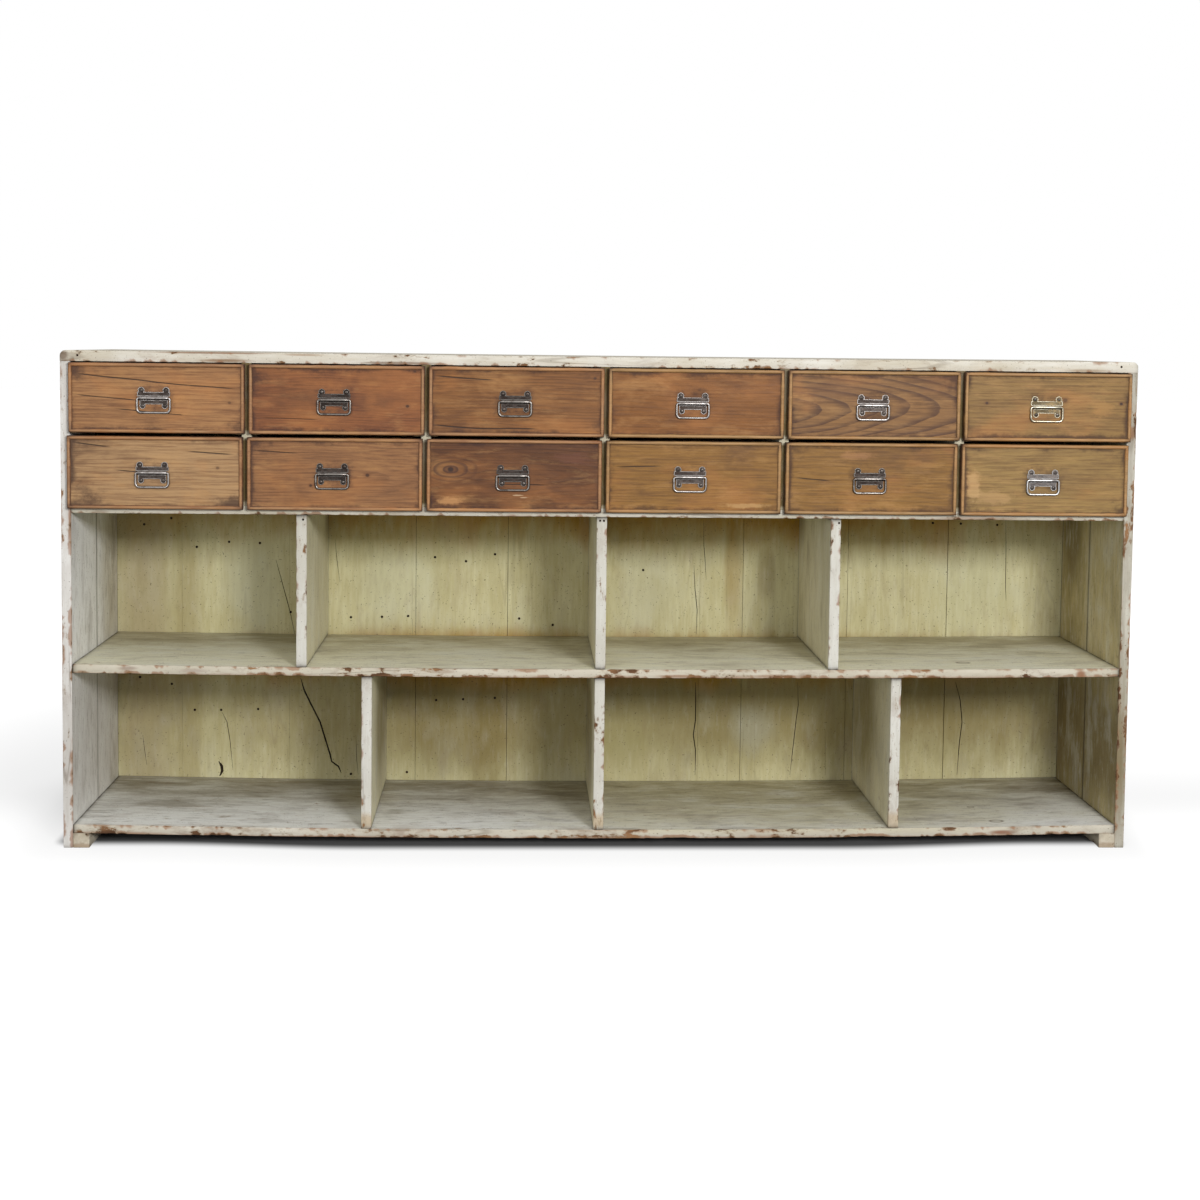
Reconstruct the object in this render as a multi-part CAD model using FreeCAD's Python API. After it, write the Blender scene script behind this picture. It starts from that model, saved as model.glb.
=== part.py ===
import FreeCAD, Part
import math
import os

# A long painted shop counter: twelve drawers in two rows over two rows of open bays.
# Millimetres. +X runs to the right, +Y to the back, +Z up. The origin lies on the floor, in the
# middle of the width and of the whole depth, pulls included.

Vector = FreeCAD.Vector
RIGHT = Vector(1, 0, 0)
FORWARD = Vector(0, -1, 0)
UP = Vector(0, 0, 1)

# Carcase
overall_width = 2000.0
overall_height = 925.0
interior_depth = 392.0
top_thickness = 20.0
top_corner_radius = 10.0
side_thickness = 18.0
side_front_board_width = 206.0
back_thickness = 13.0
back_floor_gap = 12.0
back_board_proportions = (15, 22, 26, 19, 19, 21, 9, 22, 21, 26)

# Edge joints between upright boards
joint_gap = 0.6
tongue_length = 6.0
tongue_thickness = 4.0
tongue_play = 0.2

# Shelves: heights are those of the top faces at the sides, and the sags are at mid-width
deck_thickness = 16.0
shelf_thickness = 16.0
middle_shelf_height = 345.0
middle_shelf_sag = 6.0
bottom_shelf_height = 44.0
bottom_shelf_sag = 10.0
divider_thickness = 19.0
upper_divider_positions = (-560.0, -3.5, 435.5)
lower_divider_positions = (-439.0, -4.0, 556.0)
foot_width = 30.0

# Drawer bays
partition_thickness = 18.0
partition_offsets = (0.0, -1.0, 0.0, 4.0, 4.0)  # from even spacing
runner_height = 12.0
runner_front_setback = 6.0

# Drawer fronts
upper_front_height = 128.0
lower_front_height = 134.0
top_reveal = 2.0
row_gap = 6.0
column_gap = 8.0
side_cover = 2.0
deck_cover = 7.0
front_lip = 11.0
front_tenon = 9.0
front_stop_gap = 0.3
bead_width = 7.0
upper_row_shift = 1.7
lower_row_shift = -1.7

# Drawer boxes
box_side_clearance = 3.0
box_running_gap = 0.3
box_top_clearance = 15.0
box_back_clearance = 30.0
box_side_thickness = 10.0
box_bottom_thickness = 6.0
box_bottom_rise = 8.0
groove_depth = 4.0
groove_play = 0.2
upper_box_rise = 10.0  # of its runners above the lower edge of the front

# Pulls: a pressed plate and a wire bail
pull_offsets = (-5.0, -5.0, -3.0, -7.0, -3.0, -3.0)  # from the middle of each column's fronts
sheet_thickness = 1.2
wire_diameter = 4.2
bail_play = 0.1
bail_wood_gap = 0.3
bail_width = 63.6
bail_drop = 28.5
bail_corner_radius = 7.0
bail_neck_radius = 3.2
bail_end_length = 15.0
barrel_end_gap = 0.5
plate_upper_width = 60.0
plate_leg_gap = 2.1  # between the lower flat and each leg of the bail
upper_ear_radius = 6.2
upper_ear_inset = 7.5
upper_ear_height = 14.5
lower_ear_radius = 5.6
lower_ear_inset = 5.2
lower_ear_gap = 4.7  # between the lower ears and the bail's cross bar
ear_step = 3.0  # from the centre of an ear back to the straight edge between the ears
screw_hole_diameter = 4.0

# Flat faces that stand for each round form
bead_facets = 8
wire_facets = 8
bend_steps = 3
barrel_facets = 6
ear_facets = 12
hole_facets = 8

# Levels, from the top down
top_underside = overall_height - top_thickness
upper_front_top = top_underside - top_reveal
upper_front_bottom = upper_front_top - upper_front_height
lower_front_top = upper_front_bottom - row_gap
lower_front_bottom = lower_front_top - lower_front_height
deck_top = lower_front_bottom + deck_cover
deck_underside = deck_top - deck_thickness
runner_top = upper_front_bottom + upper_box_rise

# Widths
drawer_columns = len(pull_offsets)
half_width = overall_width / 2
inner_half = half_width - side_thickness
bay_width = (2 * inner_half - (drawer_columns - 1) * partition_thickness) / drawer_columns
partition_pitch = bay_width + partition_thickness
partition_positions = [
    -inner_half + column * partition_pitch - partition_thickness / 2 + partition_offsets[column - 1]
    for column in range(1, drawer_columns)
]

# Depths, with the origin halfway between the back and the foremost point of the pulls
wire_radius = wire_diameter / 2
barrel_bore_radius = wire_radius + bail_play
barrel_radius = barrel_bore_radius + sheet_thickness
axis_standoff = wire_radius + bail_wood_gap
front_reach = front_stop_gap + front_lip + axis_standoff + barrel_radius
whole_depth = front_reach + interior_depth + back_thickness
carcase_front = front_reach - whole_depth / 2
interior_back = carcase_front + interior_depth
carcase_back = interior_back + back_thickness
lip_back = carcase_front - front_stop_gap
field_face = lip_back - front_lip
tenon_back = lip_back + front_tenon
box_back = interior_back - box_back_clearance
pull_axis = field_face - axis_standoff

# Outlines that follow from the fit of other pieces
runner_width = box_side_clearance + box_side_thickness
plate_lower_width = bail_width - 2 * (wire_diameter + plate_leg_gap)
lower_ear_height = bail_drop - wire_diameter - lower_ear_gap - lower_ear_radius


def block(x0, x1, y0, y1, z0, z1):
    """A rectangular solid between three pairs of limits."""
    return Part.makeBox(x1 - x0, y1 - y0, z1 - z0, Vector(x0, y0, z0))


def prism(points, direction):
    """A flat polygon pushed along a direction."""
    return Part.Face(Part.makePolygon(points + [points[0]])).extrude(direction)


def ring(centre, first, second, radius, facets, turn=0.0):
    """Points round a circle in the plane of two unit directions."""
    points = []
    for index in range(facets):
        angle = 2 * math.pi * (index + turn) / facets
        points.append(centre + first * (radius * math.cos(angle)) + second * (radius * math.sin(angle)))
    return points


def half_round(start, across, outward, radius, facets):
    """Points of a half circle that stands on the line from start, two radii across."""
    centre = start + across * radius
    points = []
    for index in range(facets + 1):
        angle = math.pi * index / facets
        points.append(centre - across * (radius * math.cos(angle)) + outward * (radius * math.sin(angle)))
    return points


def save(name, solids):
    """Write a node: one or more separate solids."""
    Part.makeCompound(solids).exportStep("parts/" + name + ".step")


# Boards joined edge to edge

def tongued_outline(start, end, low, high, has_groove, has_tongue):
    """Section of one board of a row, as (along, across) pairs."""
    middle = (low + high) / 2
    tongue_half = tongue_thickness / 2
    groove_half = tongue_half + tongue_play
    groove_end = start + tongue_length + tongue_play
    tongue_end = end + tongue_length - joint_gap
    outline = [(start, low), (end, low)]
    if has_tongue:
        outline += [(end, middle - tongue_half), (tongue_end, middle - tongue_half)]
        outline += [(tongue_end, middle + tongue_half), (end, middle + tongue_half)]
    outline += [(end, high), (start, high)]
    if has_groove:
        outline += [(start, middle + groove_half), (groove_end, middle + groove_half)]
        outline += [(groove_end, middle - groove_half), (start, middle - groove_half)]
    return outline


def joined_boards(joints, low, high, z0, z1, along_y):
    """Upright boards between successive joints, laid in a row along Y or along X."""
    boards = []
    last = len(joints) - 2
    for index in range(last + 1):
        start = joints[index] + (joint_gap / 2 if index > 0 else 0)
        end = joints[index + 1] - (joint_gap / 2 if index < last else 0)
        outline = tongued_outline(start, end, low, high, index > 0, index < last)
        if along_y:
            points = [Vector(across, along, z0) for along, across in outline]
        else:
            points = [Vector(along, across, z0) for along, across in outline]
        boards.append(prism(points, UP * (z1 - z0)))
    return boards


def side_boards(x0, x1):
    joints = [carcase_front, carcase_front + side_front_board_width, interior_back]
    return joined_boards(joints, x0, x1, 0, top_underside, True)


def back_boards():
    joints = [-half_width]
    for proportion in back_board_proportions:
        share = proportion / sum(back_board_proportions)
        joints.append(joints[-1] + share * overall_width)
    return joined_boards(joints, interior_back, carcase_back, back_floor_gap, top_underside, False)


# Level boards

def edge_across(height, sag):
    """A front edge from side to side, as a line or as a shallow hanging arc."""
    left = Vector(-inner_half, carcase_front, height)
    right = Vector(inner_half, carcase_front, height)
    if sag == 0:
        return Part.LineSegment(left, right).toShape()
    return Part.Arc(left, Vector(0, carcase_front, height - sag), right).toShape()


def layer(low, low_sag, high, high_sag):
    """Everything between two levels, from side to side and front to back."""
    left = Part.makeLine(Vector(-inner_half, carcase_front, low), Vector(-inner_half, carcase_front, high))
    right = Part.makeLine(Vector(inner_half, carcase_front, low), Vector(inner_half, carcase_front, high))
    outline = Part.Wire([edge_across(low, low_sag), right, edge_across(high, high_sag), left])
    return Part.Face(outline).extrude(FORWARD * -interior_depth)


def shelf(top, sag):
    return layer(top - shelf_thickness, sag, top, sag)


def dividers(positions, low, low_sag, high, high_sag):
    """Upright boards that fill the height between two shelves."""
    space = layer(low, low_sag, high, high_sag)
    lowest = low - low_sag
    boards = []
    for x in positions:
        x0 = x - divider_thickness / 2
        board = block(x0, x0 + divider_thickness, carcase_front, interior_back, lowest, high)
        boards.append(board.common(space).Solids[0])
    return boards


def top_board():
    """The top, with both upper corners rounded in the front view."""
    body = block(-half_width, half_width, carcase_front, carcase_back, top_underside, overall_height)
    corners = []
    for edge in body.Edges:
        start, end = (vertex.Point for vertex in edge.Vertexes)
        runs_back = abs(start.y - end.y) > interior_depth
        if runs_back and start.z > top_underside + top_thickness / 2:
            corners.append(edge)
    return body.makeFillet(top_corner_radius, corners)


def foot(x0, x1, bottom_shelf):
    """A batten on the floor, planed on top to the sagging shelf."""
    batten = block(x0, x1, carcase_front, interior_back, 0, bottom_shelf_height)
    lower_side = batten.cut(bottom_shelf)
    return min(lower_side.Solids, key=lambda solid: solid.CenterOfMass.z)


# Drawer bays

def bay_limits(column):
    """Left and right faces of the space for one column of drawers."""
    left = -inner_half
    right = inner_half
    if column > 0:
        left = partition_positions[column - 1] + partition_thickness / 2
    if column < drawer_columns - 1:
        right = partition_positions[column] - partition_thickness / 2
    return left, right


def front_limits(column, shift):
    """Left and right edges of one drawer front, which covers the partitions' edges."""
    left = -inner_half - side_cover
    right = inner_half + side_cover
    if column > 0:
        left = partition_positions[column - 1] + column_gap / 2
    if column < drawer_columns - 1:
        right = partition_positions[column] - column_gap / 2
    return left + shift, right + shift


def partitions():
    boards = []
    for x in partition_positions:
        x0 = x - partition_thickness / 2
        x1 = x0 + partition_thickness
        boards.append(block(x0, x1, carcase_front, interior_back, deck_top, top_underside))
    return boards


def runners():
    """Two strips in each column that the upper drawer slides on."""
    strips = []
    y0 = carcase_front + runner_front_setback
    z0 = runner_top - runner_height
    for column in range(drawer_columns):
        left, right = bay_limits(column)
        strips.append(block(left, left + runner_width, y0, interior_back, z0, runner_top))
        strips.append(block(right - runner_width, right, y0, interior_back, z0, runner_top))
    return strips


# Drawers

def bead(corner_a, corner_b, inward):
    """One mitred strip of half-round bead between two outer corners of a front.

    The corners are (x, z) pairs, and inward is the unit direction to the middle of the front.
    """
    ax, az = corner_a
    bx, bz = corner_b
    length = math.hypot(bx - ax, bz - az)
    along = Vector((bx - ax) / length, 0, (bz - az) / length)
    across = Vector(inward[0], 0, inward[1])
    start = Vector(ax, lip_back, az)
    end = start + along * length
    section = [start]
    section += half_round(start + FORWARD * front_lip, across, FORWARD, bead_width / 2, bead_facets)
    section += [start + across * bead_width]
    strip = prism(section, along * length)
    mitre = [start, end, end + (across - along) * bead_width, start + (across + along) * bead_width]
    return strip.common(prism(mitre, FORWARD * (front_lip + bead_width))).Solids[0]


def beads(x0, x1, z0, z1):
    """The four strips round a front."""
    return [
        bead((x0, z0), (x1, z0), (0, 1)),
        bead((x1, z0), (x1, z1), (-1, 0)),
        bead((x1, z1), (x0, z1), (0, -1)),
        bead((x0, z1), (x0, z0), (1, 0)),
    ]


def bottom_groove(x0, x1, y0, y1, base):
    """The space that a groove for the bottom panel takes."""
    low = base + box_bottom_rise - groove_play
    return block(x0, x1, y0, y1, low, low + box_bottom_thickness + 2 * groove_play)


def front_board(x0, x1, z0, z1, box_x0, box_x1, base, box_top):
    """The field of a front with the tenon behind it that stands between the box sides."""
    field = block(x0 + bead_width, x1 - bead_width, field_face, lip_back, z0 + bead_width, z1 - bead_width)
    tenon_x0 = box_x0 + box_side_thickness
    tenon_x1 = box_x1 - box_side_thickness
    tenon = block(tenon_x0, tenon_x1, lip_back, tenon_back, base, box_top)
    groove = bottom_groove(tenon_x0, tenon_x1, tenon_back - groove_depth, tenon_back, base)
    return field.fuse(tenon.cut(groove)).removeSplitter()


def drawer_box(x0, x1, base, box_top):
    """Two grooved sides, a back and a bottom panel."""
    pieces = []
    for side_x0, groove_x0 in (
        (x0, x0 + box_side_thickness - groove_depth),
        (x1 - box_side_thickness, x1 - box_side_thickness),
    ):
        side = block(side_x0, side_x0 + box_side_thickness, lip_back, box_back, base, box_top)
        groove = bottom_groove(groove_x0, groove_x0 + groove_depth, lip_back, box_back, base)
        pieces.append(side.cut(groove))
    inner_x0 = x0 + box_side_thickness
    inner_x1 = x1 - box_side_thickness
    panel_z0 = base + box_bottom_rise
    panel_z1 = panel_z0 + box_bottom_thickness
    panel_reach = groove_depth - groove_play
    panel_y0 = tenon_back - panel_reach
    pieces.append(
        block(inner_x0 - panel_reach, inner_x1 + panel_reach, panel_y0, box_back, panel_z0, panel_z1)
    )
    back_y0 = box_back - box_side_thickness
    pieces.append(block(inner_x0, inner_x1, back_y0, box_back, panel_z1, box_top))
    return pieces


# Pulls

def sheet_disc(x, z, radius, facets):
    """A round piece of the plate's sheet."""
    centre = Vector(x, field_face, z)
    return prism(ring(centre, RIGHT, UP, radius, facets), FORWARD * sheet_thickness)


def sheet_flat(x, width, z0, z1):
    """A rectangle of the plate's sheet."""
    return block(x - width / 2, x + width / 2, field_face - sheet_thickness, field_face, z0, z1)


def barrel(x, z):
    """The rolled ridge across the plate, open to the wood behind it."""
    neck_x = bail_width / 2 - wire_radius - bail_neck_radius
    half_length = neck_x - barrel_end_gap
    bore = barrel_bore_radius / math.cos(math.pi / barrel_facets / 2)
    foot_point = Vector(x - half_length, field_face, z)
    axis_point = Vector(x - half_length, pull_axis, z)
    outline = [foot_point - UP * barrel_radius]
    outline += half_round(axis_point - UP * barrel_radius, UP, FORWARD, barrel_radius, barrel_facets)
    outline += [foot_point + UP * barrel_radius, foot_point + UP * bore]
    outline += half_round(axis_point + UP * bore, UP * -1, FORWARD, bore, barrel_facets)
    outline += [foot_point - UP * bore]
    return prism(outline, RIGHT * (2 * half_length))


def pull_plate(x, z):
    """The pressed plate: two flats with ears, and the barrel between them."""
    pieces = [
        sheet_flat(x, plate_lower_width, z - lower_ear_height + ear_step, z - barrel_radius),
        barrel(x, z),
    ]
    holes = []
    for reach, height, radius in (
        (plate_upper_width / 2 - upper_ear_inset, upper_ear_height, upper_ear_radius),
        (plate_lower_width / 2 - lower_ear_inset, -lower_ear_height, lower_ear_radius),
    ):
        for ear_x in (x - reach, x + reach):
            pieces.append(sheet_disc(ear_x, z + height, radius, ear_facets))
            holes.append(sheet_disc(ear_x, z + height, screw_hole_diameter / 2, hole_facets))
    upper_flat = sheet_flat(x, plate_upper_width, z + barrel_radius, z + upper_ear_height - ear_step)
    return upper_flat.multiFuse(pieces).cut(holes).removeSplitter()


def bend_points(centre_x, centre_z, radius, start_angle):
    """Points on a quarter turn of the wire's centre line, clockwise in the front view."""
    points = []
    for step in range(bend_steps + 1):
        angle = math.radians(start_angle - 90 * step / bend_steps)
        points.append((centre_x + radius * math.cos(angle), centre_z + radius * math.sin(angle)))
    return points


def bail(x, z):
    """The hanging wire: in at one end of the barrel, down, across, up and in at the other end."""
    leg = bail_width / 2 - wire_radius
    low = -(bail_drop - wire_radius)
    right_half = [(leg - bail_end_length, 0)]
    right_half += bend_points(leg - bail_neck_radius, -bail_neck_radius, bail_neck_radius, 90)
    right_half += bend_points(leg - bail_corner_radius, low + bail_corner_radius, bail_corner_radius, 0)
    left_half = [(-px, pz) for px, pz in reversed(right_half)]
    centre_line = [Vector(x + px, pull_axis, z + pz) for px, pz in right_half + left_half]
    section = ring(centre_line[0], FORWARD, UP, wire_radius, wire_facets, 0.5)
    sweep = Part.BRepOffsetAPI.MakePipeShell(Part.makePolygon(centre_line))
    sweep.setTransitionMode(1)
    sweep.add(Part.makePolygon(section + [section[0]]))
    sweep.build()
    sweep.makeSolid()
    return sweep.shape()


def drawer(name, column, front_z0, front_z1, base, shift):
    """All four nodes of one drawer."""
    bay_left, bay_right = bay_limits(column)
    x0, x1 = front_limits(column, shift)
    box_x0 = bay_left + box_side_clearance
    box_x1 = bay_right - box_side_clearance
    box_top = front_z1 - box_top_clearance
    board = front_board(x0, x1, front_z0, front_z1, box_x0, box_x1, base, box_top)
    save(name + "_front", [board] + beads(x0, x1, front_z0, front_z1))
    save(name + "_box", drawer_box(box_x0, box_x1, base, box_top))
    pull_x = (x0 + x1) / 2 + pull_offsets[column]
    pull_z = (front_z0 + front_z1) / 2
    save(name + "_pull_plate", [pull_plate(pull_x, pull_z)])
    save(name + "_bail", [bail(pull_x, pull_z)])


def carcase():
    """The fixed boards."""
    middle_underside = middle_shelf_height - shelf_thickness
    bottom_shelf = shelf(bottom_shelf_height, bottom_shelf_sag)
    save("top_board", [top_board()])
    save("left_side", side_boards(-half_width, -inner_half))
    save("right_side", side_boards(inner_half, half_width))
    save("left_foot", [foot(-inner_half, -inner_half + foot_width, bottom_shelf)])
    save("right_foot", [foot(inner_half - foot_width, inner_half, bottom_shelf)])
    save("drawer_deck", [layer(deck_underside, 0, deck_top, 0)])
    save("drawer_partitions", partitions())
    save("drawer_runners", runners())
    save("middle_shelf", [shelf(middle_shelf_height, middle_shelf_sag)])
    save("bottom_shelf", [bottom_shelf])
    upper_dividers = dividers(
        upper_divider_positions, middle_shelf_height, middle_shelf_sag, deck_underside, 0
    )
    lower_dividers = dividers(
        lower_divider_positions, bottom_shelf_height, bottom_shelf_sag, middle_underside, middle_shelf_sag
    )
    save("shelf_dividers", upper_dividers + lower_dividers)
    save("back_boards", back_boards())


# Edges of the fronts, base of the boxes and sideways shift of the fronts in each row
rows = {
    "upper": (upper_front_bottom, upper_front_top, runner_top + box_running_gap, upper_row_shift),
    "lower": (lower_front_bottom, lower_front_top, deck_top + box_running_gap, lower_row_shift),
}

os.makedirs("parts", exist_ok=True)
carcase()
for row, (front_z0, front_z1, base, shift) in rows.items():
    for column in range(drawer_columns):
        drawer(row + "_drawer_" + str(column + 1), column, front_z0, front_z1, base, shift)
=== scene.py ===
import math

import bmesh
import bpy
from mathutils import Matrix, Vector, noise


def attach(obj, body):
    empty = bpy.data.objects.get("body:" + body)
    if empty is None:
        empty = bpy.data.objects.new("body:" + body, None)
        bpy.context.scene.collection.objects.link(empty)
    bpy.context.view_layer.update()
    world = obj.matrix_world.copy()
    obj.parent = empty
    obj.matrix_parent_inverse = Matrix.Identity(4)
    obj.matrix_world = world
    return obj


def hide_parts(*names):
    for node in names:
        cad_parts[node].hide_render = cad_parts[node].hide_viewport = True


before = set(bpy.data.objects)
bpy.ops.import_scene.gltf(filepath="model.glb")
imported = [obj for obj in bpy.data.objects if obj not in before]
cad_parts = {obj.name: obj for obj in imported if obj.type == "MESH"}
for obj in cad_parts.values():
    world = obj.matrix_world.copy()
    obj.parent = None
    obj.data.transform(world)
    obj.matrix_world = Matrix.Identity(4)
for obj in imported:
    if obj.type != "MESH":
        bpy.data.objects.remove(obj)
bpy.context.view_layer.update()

# Lengths are in millimetres in the frame of the part, and become metres when a mesh is made.
# Colours are written as the photograph shows them, 0 to 255.
MM = 0.001

# Levels and widths of the frame
HALF_WIDTH = 1000
SIDE_OUTER = 999.8
SIDE_INNER = 982.0
SIDE_JOINT = (11.75, 12.35)
FOOT_INNER = 952.0
FRONT = -193.95
INTERIOR_BACK = 198.05
BACK = 211.05
TOP = 925
TOP_UNDERSIDE = 905.0
DECK_TOP = 642.0
DECK_UNDERSIDE = 626.0
SHELF_THICKNESS = 16.0
MIDDLE_SHELF = 345.0
MIDDLE_UNDERSIDE = MIDDLE_SHELF - SHELF_THICKNESS
MIDDLE_SAG = 6.0
BOTTOM_SHELF = 44.0
BOTTOM_UNDERSIDE = BOTTOM_SHELF - SHELF_THICKNESS
BOTTOM_SAG = 10.0
DIVIDER_THICKNESS = 19.0
UPPER_DIVIDERS = (-560.0, -3.5, 435.5)
LOWER_DIVIDERS = (-439.0, -4.0, 556.0)
PARTITION_THICKNESS = 18.0
PARTITIONS = (-660.667, -331.333, 0.0, 334.333, 664.667)
BACK_JOINTS = (-1000, -850, -630, -370, -180, 10, 220, 310, 530, 740, 1000)

# Drawers and pulls
LIP_BACK = -194.25
TENON_BACK = -185.25
FIELD_FACE = -205.25
LIP_DEPTH = 11.0
BEAD_WIDTH = 7.0
COLUMN_HALF_GAP = 4
OUTER_FRONT_EDGE = 984.0
BOX_SIDE_INNER = 13.2  # from the side of the bay
BOX_BACK = 158.05
PULL_AXIS = -207.65
WIRE_RADIUS = 2.1
SLOT_HALF_WIDTH = 0.36


def linear(colour):
    """A colour of the photograph as Blender's linear values; a term stays as it is."""
    if isinstance(colour, Term):
        return colour
    parts = [value / 255 for value in colour]
    return (*(part / 12.92 if part <= 0.04045 else ((part + 0.055) / 1.055) ** 2.4 for part in parts), 1.0)


# Shader formulas


class Term:
    """One value in a shader, so that formulas read as formulas."""

    def __init__(self, net, socket):
        self.net = net
        self.socket = socket

    def __add__(self, other):
        return self.net.math("ADD", self, other)

    __radd__ = __add__

    def __sub__(self, other):
        return self.net.math("SUBTRACT", self, other)

    def __rsub__(self, other):
        return self.net.math("SUBTRACT", other, self)

    def __mul__(self, other):
        return self.net.math("MULTIPLY", self, other)

    def __truediv__(self, other):
        return self.net.math("DIVIDE", self, other)

    def unary(self, operation):
        return self.net.math(operation, self)

    def rise(self, low, high):
        """0 below low, 1 above high, and a smooth rise between them."""
        inputs = {"Value": self, "From Min": low, "From Max": high}
        return self.net.node("MapRange", inputs, interpolation_type="SMOOTHSTEP")

    def fall(self, low, high):
        return 1.0 - self.rise(low, high)


def total(terms):
    """The sum of terms, or 0 where there are none."""
    return sum(terms[1:], terms[0]) if terms else 0.0


class Net:
    """The nodes of one material, or of the world."""

    def __init__(self, name, offset=0.0, owners=bpy.data.materials):
        self.offset = offset
        self.owner = owners.new(name)
        self.owner.use_nodes = True
        self.tree = self.owner.node_tree
        self.tree.nodes.clear()
        self.coordinates = self.node("TexCoord", output="Object")
        split = self.node("SeparateXYZ", {0: self.coordinates}).socket.node
        self.x, self.y, self.z = (Term(self, socket) for socket in split.outputs)

    def node(self, kind, inputs=None, output=0, **settings):
        """The output of a new node, whose inputs are joined to terms or get constants."""
        made = self.tree.nodes.new("ShaderNode" + kind)
        for key, value in settings.items():
            setattr(made, key, value)
        for key, value in (inputs or {}).items():
            if isinstance(value, Term):
                self.tree.links.new(value.socket, made.inputs[key])
            else:
                made.inputs[key].default_value = value
        return Term(self, made.outputs[output]) if made.outputs else None

    def math(self, operation, *values):
        return self.node("Math", dict(enumerate(values)), operation=operation)

    def mix(self, colour, *layers):
        """A colour with others laid over it in turn, each by its own amount."""
        for tint, amount in layers:
            inputs = {0: amount, 6: linear(colour), 7: linear(tint)}
            colour = self.node("Mix", inputs, 2, data_type="RGBA", clamp_factor=True)
        return colour

    def attribute(self, name):
        return self.node("Attribute", output="Fac", attribute_name=name)

    def noise(self, scale, stretch, shift, detail, rough=0.55, warp=0.0):
        """Noise in object space; stretch gives how fast it changes along each axis."""
        start = self.offset + shift
        location = (start, start * 1.7, start * 0.6)
        place = self.node("Mapping", {"Vector": self.coordinates, "Scale": stretch, "Location": location})
        inputs = {"Vector": place, "Scale": scale, "Detail": detail, "Roughness": rough, "Distortion": warp}
        return self.node("TexNoise", inputs)

    def spot(self, at, reach, ragged, soft=0.5):
        """1 inside an ellipsoid, fading to 0 at its ragged edge; a reach of 0 leaves that axis free."""
        squares = []
        for axis, middle, size in zip((self.x, self.y, self.z), at, reach):
            if size:
                share = (axis - middle * MM) / (size * MM)
                squares.append(share * share)
        return (total(squares).unary("SQRT") + ragged).fall(1.0 - soft, 1.0)

    def finish(self, colour, roughness, height, bump, more):
        """The material, with a bump in millimetres and more inputs of its shader."""
        relief = self.node("Bump", {"Strength": 1.0, "Distance": bump * MM, "Height": height})
        inputs = {"Base Color": colour, "Roughness": roughness, "Normal": relief, **more}
        self.node("OutputMaterial", {"Surface": self.node("BsdfPrincipled", inputs)})
        return self.owner


GRAIN = {"x": (0.07, 1, 1), "y": (1, 0.07, 1), "z": (1, 1, 0.07)}
EVEN = (1, 1, 1)


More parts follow.
